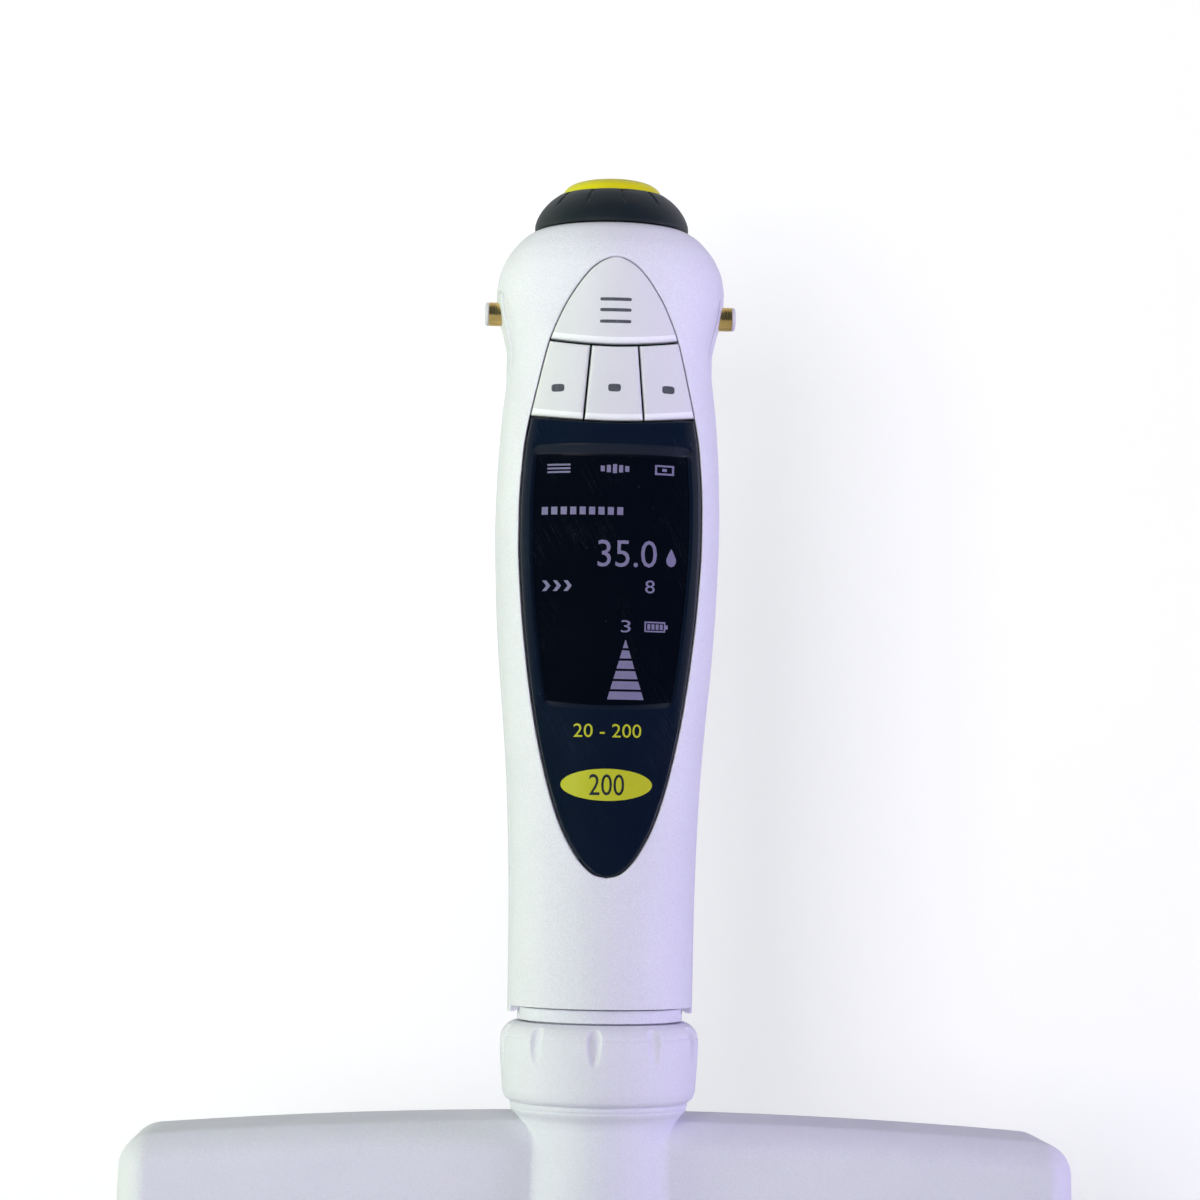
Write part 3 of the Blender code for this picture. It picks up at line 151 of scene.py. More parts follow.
class PipetteColours(bpy.types.PropertyGroup):
    """Main colours of the finishes."""

    shell: bpy.props.FloatVectorProperty(
        name="Casing", description="White plastic of the casings", subtype="COLOR", size=3,
        default=(0.79, 0.785, 0.875))
    key: bpy.props.FloatVectorProperty(
        name="Keys", description="Plastic of the buttons", subtype="COLOR", size=3,
        default=(0.73, 0.73, 0.775))
    accent: bpy.props.FloatVectorProperty(
        name="Accent", description="Yellow of the push button and the volume field",
        subtype="COLOR", size=3, default=(0.72, 0.66, 0.012))
    glass: bpy.props.FloatVectorProperty(
        name="Window", description="Dark blue back of the window", subtype="COLOR", size=3,
        default=(0.0035, 0.0085, 0.021))
    picture: bpy.props.FloatVectorProperty(
        name="Display picture", description="Lit dots of the display", subtype="COLOR", size=3,
        default=(0.19, 0.175, 0.31))


# Shapes on grids


def cubic(xs, ys, tangent, where):
    """Cubic pieces through the points (xs, ys) with the given slopes, read at the given places."""
    k = np.clip(np.searchsorted(xs, where, side="right") - 1, 0, len(xs) - 2)
    h = xs[k + 1] - xs[k]
    t = (where - xs[k]) / h
    return (ys[k] * (1 + 2 * t) * (1 - t) ** 2 + tangent[k] * h * t * (1 - t) ** 2
            + ys[k + 1] * t ** 2 * (3 - 2 * t) - tangent[k + 1] * h * t ** 2 * (1 - t))


def read(table, where, column=1):
    """Value of a table at the given places, by cubic pieces that never pass the table's points."""
    rows = np.array(sorted(table), float)
    xs, ys = rows[:, 0], rows[:, column]
    slope = np.diff(ys) / np.diff(xs)
    product = slope[:-1] * slope[1:]
    total = np.where(product > 0, slope[:-1] + slope[1:], 1.0)
    tangent = np.concatenate((slope[:1], np.where(product > 0, 2 * product / total, 0.0), slope[-1:]))
    return cubic(xs, ys, tangent, np.clip(where, xs[0], xs[-1]))


def points(*axes):
    """Grid of points from arrays of x, y and z that are spread to one shape."""
    return np.stack(np.broadcast_arrays(*axes), -1).astype(float)


def skin(angle, z, inset=0.0):
    """Point of the handle at an angle from its right side, the front being positive.

    With a and b the half width and the depth less the inset, the distance from the axis is
    one over the n-th root of |cos angle / a|^n + |sin angle / b|^n, n the squareness.
    """
    half, front, rear, power = (read(HANDLE, z, column) for column in (1, 2, 3, 4))
    depth = np.where(np.sin(angle) >= 0, front, rear)
    reach = (np.abs(np.cos(angle) / (half - inset)) ** power
             + np.abs(np.sin(angle) / (depth - inset)) ** power) ** (-1 / power)
    return points(reach * np.cos(angle), -reach * np.sin(angle), z)


def face_y(x, z, inset=0.0, behind=False):
    """Y of the handle's front, or of its rear, at x and z."""
    half, power = read(HANDLE, z, 1), read(HANDLE, z, 4)
    depth = read(HANDLE, z, 3 if behind else 2) - inset
    share = np.abs(x) / (half - inset)
    return (1 if behind else -1) * depth * np.maximum(1 - share ** power, 0.0) ** (1 / power)


def drop(distance, radius):
    """How far a quarter round edge lies under its face at a distance from the edge."""
    t = np.clip(radius - distance, 0.0, radius)
    return radius - np.sqrt(np.maximum(radius ** 2 - t ** 2, 0.0))


def edge_steps(radius, count=4):
    """Distances from an edge at which its rounding is sampled, the edge itself first."""
    return radius * (1 - np.sin(np.linspace(math.pi / 2, 0.0, count + 1)))


def stations(low, high, radius, count):
    """Places from low to high along the last axis, close together over both rounded edges."""
    low, high = np.asarray(low, float)[..., None], np.asarray(high, float)[..., None]
    reach = np.minimum(edge_steps(radius), (high - low) / 2 * edge_steps(1.0))
    middle = np.linspace(0.0, 1.0, count + 2)[1:-1]
    start, stop = low + reach[..., -1:], high - reach[..., -1:]
    return np.concatenate((low + reach, start + (stop - start) * middle, high - reach[..., ::-1]), -1)


def corners(index):
    """Quads between neighbouring points of an index grid."""
    return np.stack((index[:-1, :-1], index[1:, :-1], index[1:, 1:], index[:-1, 1:]), -1)


def numbered(grid):
    """Numbers of a grid's points, in the grid's own rows and columns."""
    return np.arange(grid.shape[0] * grid.shape[1]).reshape(grid.shape[:2])


def surface(grid, around=False, ends=False):
    """Points and quads of one grid; `around` joins the last column, `ends` the last row, to the first."""
    index = numbered(grid)
    if around:
        index = np.concatenate((index, index[:, :1]), axis=1)
    if ends:
        index = np.concatenate((index, index[:1]), axis=0)
    return grid.reshape(-1, 3), corners(index).reshape(-1, 4)


def plate(outer, inner, keep=None):
    """Points and quads of the closed solid between two grids: both skins, and walls at open edges."""
    index = numbered(outer)
    under = index + index.size
    keep = np.ones(index[1:, 1:].shape, bool) if keep is None else keep
    padded = np.pad(keep, ((1, 1), (0, 0)))
    across = padded[1:] != padded[:-1]
    padded = np.pad(keep, ((0, 0), (1, 1)))
    along = padded[:, 1:] != padded[:, :-1]
    quads = np.concatenate((
        corners(index)[keep], corners(under)[keep][:, ::-1],
        np.stack((index[:, :-1], index[:, 1:], under[:, 1:], under[:, :-1]), -1)[across],
        np.stack((index[:-1], index[1:], under[1:], under[:-1]), -1)[along]))
    return np.concatenate((outer.reshape(-1, 3), inner.reshape(-1, 3))), quads


def mirrored(piece):
    """The piece and its mirror image over the YZ plane, without the faces that lie in it."""
    place, quads = piece
    flat = np.all(np.abs(place[quads][:, :, 0]) < 1e-6, axis=1)
    quads = quads[~flat]
    return (np.concatenate((place, place * (-1, 1, 1))),
            np.concatenate((quads, quads[:, ::-1] + len(place))))


def softened(outline, cut, steps=5, closed=True):
    """Outline with each corner turned into a short curve that starts a cut before the corner."""
    corner = np.array(outline, float)
    cuts = np.broadcast_to(np.array(cut, float), (len(corner),))
    made = []
    for k, here in enumerate(corner):
        if not closed and k in (0, len(corner) - 1):
            made.append(here[None])
            continue
        before, after = corner[k - 1] - here, corner[(k + 1) % len(corner)] - here
        size = min(cuts[k], 0.45 * np.linalg.norm(before), 0.45 * np.linalg.norm(after))
        first = here + before / np.linalg.norm(before) * size
        last = here + after / np.linalg.norm(after) * size
        t = np.linspace(0.0, 1.0, steps + 1)[:, None]
        made.append((1 - t) ** 2 * first + 2 * t * (1 - t) * here + t ** 2 * last)
    return np.concatenate(made)


def spread(outline, spacing, closed=True):
    """Outline with points added so that no two neighbours lie further apart than spacing.

    Spacing is one value, or one for the stretch after each point.
    """
    stops = np.concatenate((outline, outline[:1])) if closed else outline
    limits = np.broadcast_to(spacing, (len(outline),))
    made = []
    for first, last, limit in zip(stops, stops[1:], limits):
        count = max(1, int(np.ceil(np.linalg.norm(last - first) / limit)))
        made.append(first + (last - first) * np.arange(count)[:, None] / count)
    if not closed:
        made.append(stops[-1:])
    return np.concatenate(made)


def turned(profile, count=144):
    """Grid of a profile of (radius, height) turned round the axis."""
    angle = 2 * math.pi * np.arange(count) / count
    radius, height = profile[:, :1], profile[:, 1:]
    return points(radius * np.cos(angle), radius * np.sin(angle), height)


def ring_of(profile, count=144):
    """Closed body turned from a closed profile that stays off the axis."""
    return surface(turned(profile, count), around=True, ends=True)


def knob_of(profile, count=144):
    """Closed body turned from a profile that starts and ends on the axis."""
    return surface(turned(profile, count), around=True)


def channel_x(k):
    """X of the channel with number k, counted from 0 at the left."""
    return PITCH * (k - (CHANNELS - 1) / 2)


def moved(piece, offset):
    """The same piece at another place."""
    return piece[0] + np.array(offset, float), piece[1]


def box_of(low, high, cut=0.3):
    """Block with rounded upright edges and softened rims, as rings of one outline."""
    low, high = np.array(low, float), np.array(high, float)
    flat = softened([(low[0], low[1]), (high[0], low[1]), (high[0], high[1]), (low[0], high[1])], cut, 4)
    middle = (low[:2] + high[:2]) / 2
    reach = (high[:2] - low[:2]) / 2
    inward = cut * (1 - np.sin(np.linspace(0, math.pi / 2, 4)))
    level = cut * (1 - np.cos(np.linspace(0, math.pi / 2, 4)))
    insets = np.concatenate(([reach.min()], inward, inward[::-1], [reach.min()]))
    heights = np.concatenate(([low[2]], low[2] + level, high[2] - level[::-1], [high[2]]))
    shrink = (reach - insets[:, None]) / reach
    ring = middle + (flat - middle)[None] * shrink[:, None]
    return surface(points(ring[..., 0], ring[..., 1], heights[:, None]), around=True)


def make(name, pieces, finishes, body, nodes=(), sharp=38.0):
    """Makes one object from pieces of (points, faces) or (points, faces, number of the finish).

    Doubles are merged and faces turned outwards, edges over the sharp angle stay sharp, and the
    object rides on a body and stands for the nodes.
    """
    place = np.concatenate([piece[0] for piece in pieces]) * MM
    starts = np.cumsum([0] + [len(piece[0]) for piece in pieces])
    faces, choice = [], []
    for piece, start in zip(pieces, starts):
        own = piece[1].tolist() if isinstance(piece[1], np.ndarray) else piece[1]
        faces += [[corner + int(start) for corner in face] for face in own]
        choice.append(np.broadcast_to(piece[2] if len(piece) > 2 else 0, (len(own),)))
    mesh = bpy.data.meshes.new(name)
    mesh.from_pydata(place, [], faces)
    mesh.polygons.foreach_set("material_index", np.ascontiguousarray(np.concatenate(choice), np.int32))
    work = bmesh.new()
    work.from_mesh(mesh)
    bmesh.ops.remove_doubles(work, verts=work.verts, dist=0.0006 * MM)
    bmesh.ops.dissolve_degenerate(work, edges=work.edges, dist=0.0003 * MM)
    bmesh.ops.recalc_face_normals(work, faces=work.faces)
    work.to_mesh(mesh)
    work.free()
    mesh.polygons.foreach_set("use_smooth", np.ones(len(mesh.polygons), bool))
    mesh.set_sharp_from_angle(angle=math.radians(sharp))
    made = bpy.data.objects.new(name, mesh)
    bpy.context.scene.collection.objects.link(made)
    for finish in finishes:
        mesh.materials.append(finish)
    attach(made, body)
    if nodes:
        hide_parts(*nodes)
    return made


# Shader nodes


def add(tree, kind, settings=None, **inputs):
    """Adds a node; inputs are values or sockets, named as the node names them."""
    made = tree.nodes.new(kind)
    for key, value in (settings or {}).items():
        setattr(made, key, value)
    for key, value in inputs.items():
        feed(tree, value, made.inputs[key.replace("_", " ")])
    return made


def feed(tree, value, socket):
    """Links an output to a socket, or sets a constant on it; a colour may come without its alpha."""
    if isinstance(value, bpy.types.NodeSocket):
        tree.links.new(value, socket)
    elif socket.type == "RGBA" and len(value) == 3:
        socket.default_value = (*value, 1.0)
    else:
        socket.default_value = value


def maths(tree, operation, *values):
    """Output of one arithmetic node."""
    made = tree.nodes.new("ShaderNodeMath")
    made.operation = operation
    for value, socket in zip(values, made.inputs):
        feed(tree, value, socket)
    return made.outputs[0]


def between(tree, value, low, high, start=0.0, stop=1.0):
    """The value carried from low..high to start..stop, and held at both ends."""
    made = add(tree, "ShaderNodeMapRange", Value=value, From_Min=low, From_Max=high,
               To_Min=start, To_Max=stop)
    return made.outputs[0]


def blend(tree, factor, first, second):
    """Colour that goes from the first to the second with the factor."""
    made = tree.nodes.new("ShaderNodeMix")
    made.data_type = "RGBA"
    for value, socket in ((factor, made.inputs[0]), (first, made.inputs[6]), (second, made.inputs[7])):
        feed(tree, value, socket)
    return made.outputs[2]


def group(name, inputs, outputs):
    """An empty shader group with its sockets, and its two end nodes."""
    tree = bpy.data.node_groups.new(name, "ShaderNodeTree")
    for label, kind, default in inputs:
        socket = tree.interface.new_socket(name=label, in_out="INPUT", socket_type="NodeSocket" + kind)
        if default is not None:
            socket.default_value = default
    for label, kind in outputs:
        tree.interface.new_socket(name=label, in_out="OUTPUT", socket_type="NodeSocket" + kind)
    return tree, tree.nodes.new("NodeGroupInput"), tree.nodes.new("NodeGroupOutput")


def placed(tree, name, **inputs):
    """Puts a finished group into a material."""
    made = tree.nodes.new("ShaderNodeGroup")
    made.node_tree = bpy.data.node_groups[name]
    for key, value in inputs.items():
        feed(tree, value, made.inputs[key.replace("_", " ")])
    return made


def in_millimetres(tree, coordinate):
    """A place in metres as one in millimetres."""
    made = add(tree, "ShaderNodeVectorMath", {"operation": "SCALE"}, Scale=1000.0)
    feed(tree, coordinate, made.inputs[0])
    return made.outputs[0]


def build_effects():
    """The effects that several finishes share, each as one group. Sizes inside are per mm."""
    tree, start, end = group("Moulded grain", (("Place", "Vector", None), ("Fineness", "Float", 3.0)),
                             (("Height", "Float"),))
    coarse = add(tree, "ShaderNodeTexNoise", Vector=start.outputs["Place"],
                 Scale=start.outputs["Fineness"], Detail=3.0, Roughness=0.55)
    fine = add(tree, "ShaderNodeTexVoronoi", {"feature": "SMOOTH_F1"}, Vector=start.outputs["Place"],
               Scale=maths(tree, "MULTIPLY", start.outputs["Fineness"], 1.3), Smoothness=0.6)
    feed(tree, maths(tree, "ADD", coarse.outputs[0], maths(tree, "MULTIPLY", fine.outputs["Distance"], 0.6)),
         end.inputs["Height"])

    tree, start, end = group("Uneven tone", (("Place", "Vector", None), ("Colour", "Color", (1, 1, 1, 1)),
                                             ("Amount", "Float", 0.04)), (("Colour", "Color"),))
    cloud = add(tree, "ShaderNodeTexNoise", Vector=start.outputs["Place"], Scale=0.09, Detail=4.0)
    tone = between(tree, cloud.outputs[0], 0.3, 0.7)
    darker = add(tree, "ShaderNodeHueSaturation", Color=start.outputs["Colour"], Saturation=1.08,
                 Value=maths(tree, "SUBTRACT", 1.0, start.outputs["Amount"]))
    feed(tree, blend(tree, tone, start.outputs["Colour"], darker.outputs[0]), end.inputs["Colour"])

    tree, start, end = group("Specks of dirt", (("Place", "Vector", None), ("Spacing", "Float", 0.35),
                                                ("Size", "Float", 0.07)), (("Mask", "Float"),))
    cells = add(tree, "ShaderNodeTexVoronoi", Vector=start.outputs["Place"], Scale=start.outputs["Spacing"])
    chance = add(tree, "ShaderNodeSeparateColor", Color=cells.outputs["Color"])
    limit = maths(tree, "MULTIPLY", maths(tree, "MULTIPLY", start.outputs["Size"], chance.outputs[0]),
                  start.outputs["Spacing"])
    dot = between(tree, maths(tree, "SUBTRACT", cells.outputs["Distance"], limit), 0.0, 0.012, 1.0, 0.0)
    rare = maths(tree, "GREATER_THAN", chance.outputs[1], 0.72)
    feed(tree, maths(tree, "MULTIPLY", dot, rare), end.inputs["Mask"])

    tree, start, end = group("Fine scratches", (("Place", "Vector", None), ("Turn", "Float", 0.5),
                                                ("Amount", "Float", 0.5)), (("Mask", "Float"),))
    turn = add(tree, "ShaderNodeVectorRotate", {"rotation_type": "Y_AXIS"}, Vector=start.outputs["Place"],
               Angle=start.outputs["Turn"])
    long = add(tree, "ShaderNodeMapping", Vector=turn.outputs[0], Scale=(1.6, 0.05, 0.03))
    lines = add(tree, "ShaderNodeTexNoise", Vector=long.outputs[0], Scale=2.2, Detail=5.0, Roughness=0.6)
    thin = between(tree, maths(tree, "ABSOLUTE", maths(tree, "SUBTRACT", lines.outputs[0], 0.5)),
                   0.0, 0.004, 1.0, 0.0)
    where = add(tree, "ShaderNodeTexNoise", Vector=start.outputs["Place"], Scale=0.16, Detail=1.0)
    some = between(tree, where.outputs[0], 0.52, 0.66)
    feed(tree, maths(tree, "MULTIPLY", maths(tree, "MULTIPLY", thin, some), start.outputs["Amount"]),
         end.inputs["Mask"])


def raise_surface(tree, shader, height, distance, strength):
    """Bump by the given height; the distance is in millimetres."""
    raised = add(tree, "ShaderNodeBump", Height=height, Distance=distance * MM, Strength=strength)
    tree.links.new(raised.outputs[0], shader.inputs["Normal"])


def new_finish(name, **shader_values):
    """A material with its shader node, and the place in millimetres to read patterns from."""
    made = bpy.data.materials.new(name)
    made.use_nodes = True
    tree = made.node_tree
    shader = tree.nodes["Principled BSDF"]
    for key, value in shader_values.items():
        feed(tree, value, shader.inputs[key.replace("_", " ")])
    where = add(tree, "ShaderNodeTexCoord").outputs["Object"]
    return made, tree, shader, in_millimetres(tree, where)


def plastic(name, colour, roughness=0.42, fineness=3.0, bump=0.012, specks=0.5, spacing=0.3, uneven=0.03,
            coat=0.0, subsurface=0.0, mottle=0.02):
    """Moulded plastic: uneven tone, specks of dirt, fine grain and rubbed patches."""
    made, tree, shader, place = new_finish(
        name, Coat_Weight=coat, Coat_Roughness=0.12, Subsurface_Weight=subsurface, Subsurface_Scale=1.2 * MM)
    tone = placed(tree, "Uneven tone", Place=place, Colour=colour, Amount=uneven)
    dirt = placed(tree, "Specks of dirt", Place=place, Spacing=spacing, Size=0.12)
    dark = tuple(0.35 * value for value in colour)
    grains = add(tree, "ShaderNodeTexNoise", Vector=place, Scale=2.2 * fineness, Detail=2.0)
    mottled = add(tree, "ShaderNodeHueSaturation", Color=tone.outputs["Colour"],
                  Value=between(tree, grains.outputs[0], 0.3, 0.7, 1.0 - mottle, 1.0 + mottle))
    spotted = blend(tree, maths(tree, "MULTIPLY", dirt.outputs["Mask"], specks), mottled.outputs[0], dark)
    tree.links.new(spotted, shader.inputs["Base Color"])
    rub = placed(tree, "Fine scratches", Place=place, Turn=0.9, Amount=0.10)
    patch = add(tree, "ShaderNodeTexNoise", Vector=place, Scale=0.22, Detail=3.0)
    varied = maths(tree, "ADD", between(tree, patch.outputs[0], 0.3, 0.7, roughness - 0.04, roughness + 0.05),
                   rub.outputs["Mask"])
    tree.links.new(varied, shader.inputs["Roughness"])
    grain = placed(tree, "Moulded grain", Place=place, Fineness=fineness)
    raise_surface(tree, shader, grain.outputs["Height"], bump, 1.0)
    return made


def metal(name, colour, roughness=0.28, stretch=(0.3, 0.3, 6.0), wear=0.05):
    """Metal with fine turning lines and uneven polish."""
    made, tree, shader, place = new_finish(name, Metallic=1.0)
    tone = placed(tree, "Uneven tone", Place=place, Colour=colour, Amount=0.12)
    tree.links.new(tone.outputs["Colour"], shader.inputs["Base Color"])
    lines = add(tree, "ShaderNodeMapping", Vector=place, Scale=stretch)
    turning = add(tree, "ShaderNodeTexNoise", Vector=lines.outputs[0], Scale=3.0, Detail=4.0)
    tree.links.new(between(tree, turning.outputs[0], 0.3, 0.7, roughness - wear, roughness + wear),
                   shader.inputs["Roughness"])
    raise_surface(tree, shader, turning.outputs[0], 0.01, 0.6)
    return made


def glossy(name, colour, roughness=0.07, scratches=0.5, dust=0.25, shine=0.5):
    """Clear glossy window over a dark back: gloss, fine scratches and a little dust."""
    made, tree, shader, place = new_finish(name, IOR=1.5, Specular_IOR_Level=shine)
    tone = placed(tree, "Uneven tone", Place=place, Colour=colour, Amount=0.15)
    lines = placed(tree, "Fine scratches", Place=place, Turn=0.5, Amount=scratches)
    specks = placed(tree, "Specks of dirt", Place=place, Spacing=0.5, Size=0.16)
    marks = maths(tree, "MAXIMUM", lines.outputs["Mask"], maths(tree, "MULTIPLY", specks.outputs["Mask"], dust))
    lighter = tuple(min(1.0, 0.05 + 1.5 * value) for value in colour)
    tree.links.new(blend(tree, marks, tone.outputs["Colour"], lighter), shader.inputs["Base Color"])
    tree.links.new(maths(tree, "ADD", roughness, maths(tree, "MULTIPLY", marks, 0.35)),
                   shader.inputs["Roughness"])
    wave = add(tree, "ShaderNodeTexNoise", Vector=place, Scale=0.35, Detail=2.0)
    raise_surface(tree, shader, wave.outputs[0], 0.02, 0.5)
    return made


def ink(name, colour, roughness=0.4, wear=0.2, gloss=0.0):
    """Printed ink with slightly worn patches."""
    made, tree, shader, place = new_finish(name, Coat_Weight=gloss, Coat_Roughness=0.06)
    cloud = add(tree, "ShaderNodeTexNoise", Vector=place, Scale=2.5, Detail=3.0)
    paler = tuple(value + (0.6 - value) * wear * 0.4 for value in colour)
    worn = between(tree, cloud.outputs[0], 0.45, 0.75)
    tree.links.new(blend(tree, worn, colour, paler), shader.inputs["Base Color"])
    tree.links.new(between(tree, cloud.outputs[0], 0.3, 0.7, roughness, roughness + 0.1),
                   shader.inputs["Roughness"])
    return made


finish = {}


def build_finishes(colours):
    """Every finish of the pipette, by its plain name."""
    build_effects()
    shell, key = tuple(colours.shell), tuple(colours.key)
    finish["shell"] = plastic("White casing plastic", shell, 0.36, 3.0, 0.05, 0.6, 0.24, subsurface=0.03,
                              mottle=0.075)
    finish["key"] = plastic("Key plastic", key, 0.34, 3.5, 0.015, 0.35, 0.35)
    # Paler plastic for the keys' rounded lower edges: a painted highlight in place of the light that those edges
    # catch.
    finish["key edge"] = plastic("Key plastic with painted highlight", (0.93, 0.93, 0.98), 0.34, 3.5, 0.015, 0.2, 0.35)
    finish["case"] = plastic("Manifold plastic", shell, 0.42, 2.8, 0.05, 0.6, 0.2, subsurface=0.03, mottle=0.05)
    finish["wheel"] = plastic("Black wheel plastic", (0.010, 0.016, 0.020), 0.42, 3.0, 0.010, 0.2, 0.5, 0.2)
    finish["yellow"] = plastic("Yellow plastic", tuple(colours.accent), 0.38, 3.0, 0.008, 0.3, 0.4, 0.06,
                               subsurface=0.08)
    finish["window"] = glossy("Dark blue window", tuple(colours.glass), shine=0.4)
    finish["screen"] = glossy("Display glass", (0.0012, 0.0024, 0.0058), 0.09, 0.8, 0.4, 0.2)
    finish["picture"] = ink("Display dots", tuple(colours.picture), 0.3, 0.1, 0.5)
    finish["grey ink"] = ink("Grey print", (0.075, 0.08, 0.10), 0.45)
    finish["yellow ink"] = ink("Yellow print", (0.50, 0.515, 0.018), 0.35, 0.08, 0.2)
    finish["dark ink"] = ink("Dark print", (0.006, 0.012, 0.022), 0.35, 0.05, 0.4)
    finish["gold"] = metal("Gold contact", (0.94, 0.68, 0.26), 0.24, (6.0, 0.3, 0.3))
    finish["cap"] = plastic("Contact end plastic", (0.70, 0.68, 0.72), 0.34, 3.0, 0.004)
    finish["steel"] = metal("Ground steel", (0.60, 0.60, 0.62), 0.24)
    finish["aluminium"] = metal("Milled aluminium", (0.66, 0.67, 0.69), 0.34, (5.0, 0.4, 0.4))
    finish["spring"] = metal("Spring wire", (0.52, 0.52, 0.54), 0.30)
    finish["cone"] = plastic("Grey cone plastic", (0.36, 0.37, 0.39), 0.36, 3.0, 0.006, 0.2, 0.5)
    finish["rubber"] = plastic("Sealing ring rubber", (0.012, 0.012, 0.013), 0.62, 4.0, 0.010, 0.2, 0.8)
    finish["plate"] = plastic("Inner plate plastic", (0.16, 0.17, 0.18), 0.48, 2.5, 0.012)
    finish["sensor"] = plastic("Sensor block plastic", (0.02, 0.02, 0.021), 0.55, 2.5, 0.012)
    finish["battery"] = plastic("Battery wrap", (0.03, 0.08, 0.30), 0.34, 1.5, 0.006, coat=0.3)
    finish["board"] = board()
    finish["motor"] = metal("Motor can steel", (0.56, 0.57, 0.58), 0.30)
    finish["panel"] = glossy("Display module glass", (0.05, 0.07, 0.08), 0.12, 0.1, 0.1)


def board():
    """Circuit board: green lacquer over straight copper tracks."""
    made, tree, shader, place = new_finish("Circuit board lacquer", Coat_Weight=0.4)
    grid = add(tree, "ShaderNodeTexBrick", {"offset": 0.35}, Vector=place, Scale=0.5, Mortar_Size=0.05,
               Brick_Width=1.1, Row_Height=0.6, Color1=(0.01, 0.12, 0.04), Color2=(0.012, 0.15, 0.05),
               Mortar=(0.03, 0.26, 0.09))
    tree.links.new(grid.outputs["Color"], shader.inputs["Base Color"])
    raise_surface(tree, shader, grid.outputs["Fac"], 0.02, 0.6)
    tree.links.new(between(tree, grid.outputs["Fac"], 0.0, 1.0, 0.32, 0.26), shader.inputs["Roughness"])
    return made


# Outline on the front


def outline_half(z, clear=0.0):
    """Half width of the pointed outline at z, less a gap that is measured square to the outline.

    Past its two points the outline goes on straight, to negative widths, so that the distance
    to it can be read there as well.
    """
    rise = OGIVE[1][1] / (APEX - OGIVE[1][0])
    fall = OGIVE[-2][1] / (OGIVE[-2][0] - TIP)
    half = read(OGIVE, z) - rise * np.maximum(z - APEX, 0) - fall * np.maximum(TIP - z, 0)
    return half - clear * outline_lean(z) if clear else half


def outline_lean(z):
    """Length along the outline for each step up: the root of one plus its slope squared."""
    slope = (outline_half(z + 0.02) - outline_half(z - 0.02)) / 0.04
    return np.sqrt(1 + slope ** 2)


def edge_of(level, bend, clear):
    """Where the arc z = level + bend x^2 meets the outline, by repeated substitution."""
    x = np.maximum(outline_half(level, clear), 0.0)
    for _ in range(8):
        x = np.maximum(outline_half(level + bend * x ** 2, clear), 0.0)
    return x


def levels(start, *stretches):
    """Falling heights: from the start to each stop in steps of about the given spacing."""
    made = []
    for stop, spacing in stretches:
        count = max(1, int(np.ceil((start - stop) / spacing)))
        made.append(start + (stop - start) * np.arange(count) / count)
        start = stop
    return np.concatenate(made + [np.array([start])])


def pocketed(place):
    """The hollow round each charging contact: the side is let in inside an egg-shaped outline.

    With q the outline's share (y / half)^2.3 + (height off its middle / rise or fall)^2.3, the
    side goes in by a depth that falls from the front rim to the rear, times a smooth step of q.
    """
    x, y, z = place[..., 0], place[..., 1], place[..., 2]
    off = z - POCKET_MIDDLE
    share = (np.abs(y / POCKET_HALF) ** 2.3
             + np.abs(off / np.where(off > 0, POCKET_RISE, POCKET_FALL)) ** 2.3) ** (1 / 2.3)
    step = np.clip((1.0 - share) / 0.1, 0, 1)
    step = step * step * (3 - 2 * step)
    depth = 0.85 * np.clip((0.4 - y) / 5.5, 0, 1)
    depth = depth * np.clip((off + POCKET_FALL) / 4.0, 0, 1)
    place = place.copy()
    place[..., 0] = np.where(np.abs(x) > 8.0, x - np.copysign(depth * step, x), x)
    return place


def split_angle(z, y):
    """Angle at which the handle's side passes a given y, by repeated substitution."""
    angle = np.zeros_like(z)
    for _ in range(6):
        reach = np.linalg.norm(skin(angle, z)[..., :2], axis=-1)
        angle = -np.arcsin(y / reach)
    return angle


def along_skin(first, last, z, inset, shares):
    """Columns of the handle's side from one angle to another."""
    return skin(first + (last - first) * shares, z, inset)


def on_face(x, z, inset, behind=False):
    """Points of the handle's front or rear at the given x."""
    return points(x, face_y(x, z, inset, behind), z)


def with_deck(grid, height, radius):
    """Adds rows that carry the first row inwards to the bore of the top deck."""
    rim = grid[0]
    across = rim[:, :2] / np.linalg.norm(rim[:, :2], axis=1)[:, None] * radius
    rows = []
    for share in DECK_SHARES:
        flat = rim[:, :2] + (across - rim[:, :2]) * share
        rows.append(points(flat[:, 0], flat[:, 1], height)[None])
    return np.concatenate((*rows, grid))


def casing_inside(place):
    """The inner skin never rises over the underside of the deck."""
    place = place.copy()
    place[..., 2] = np.minimum(place[..., 2], DECK_FOOT)
    return place


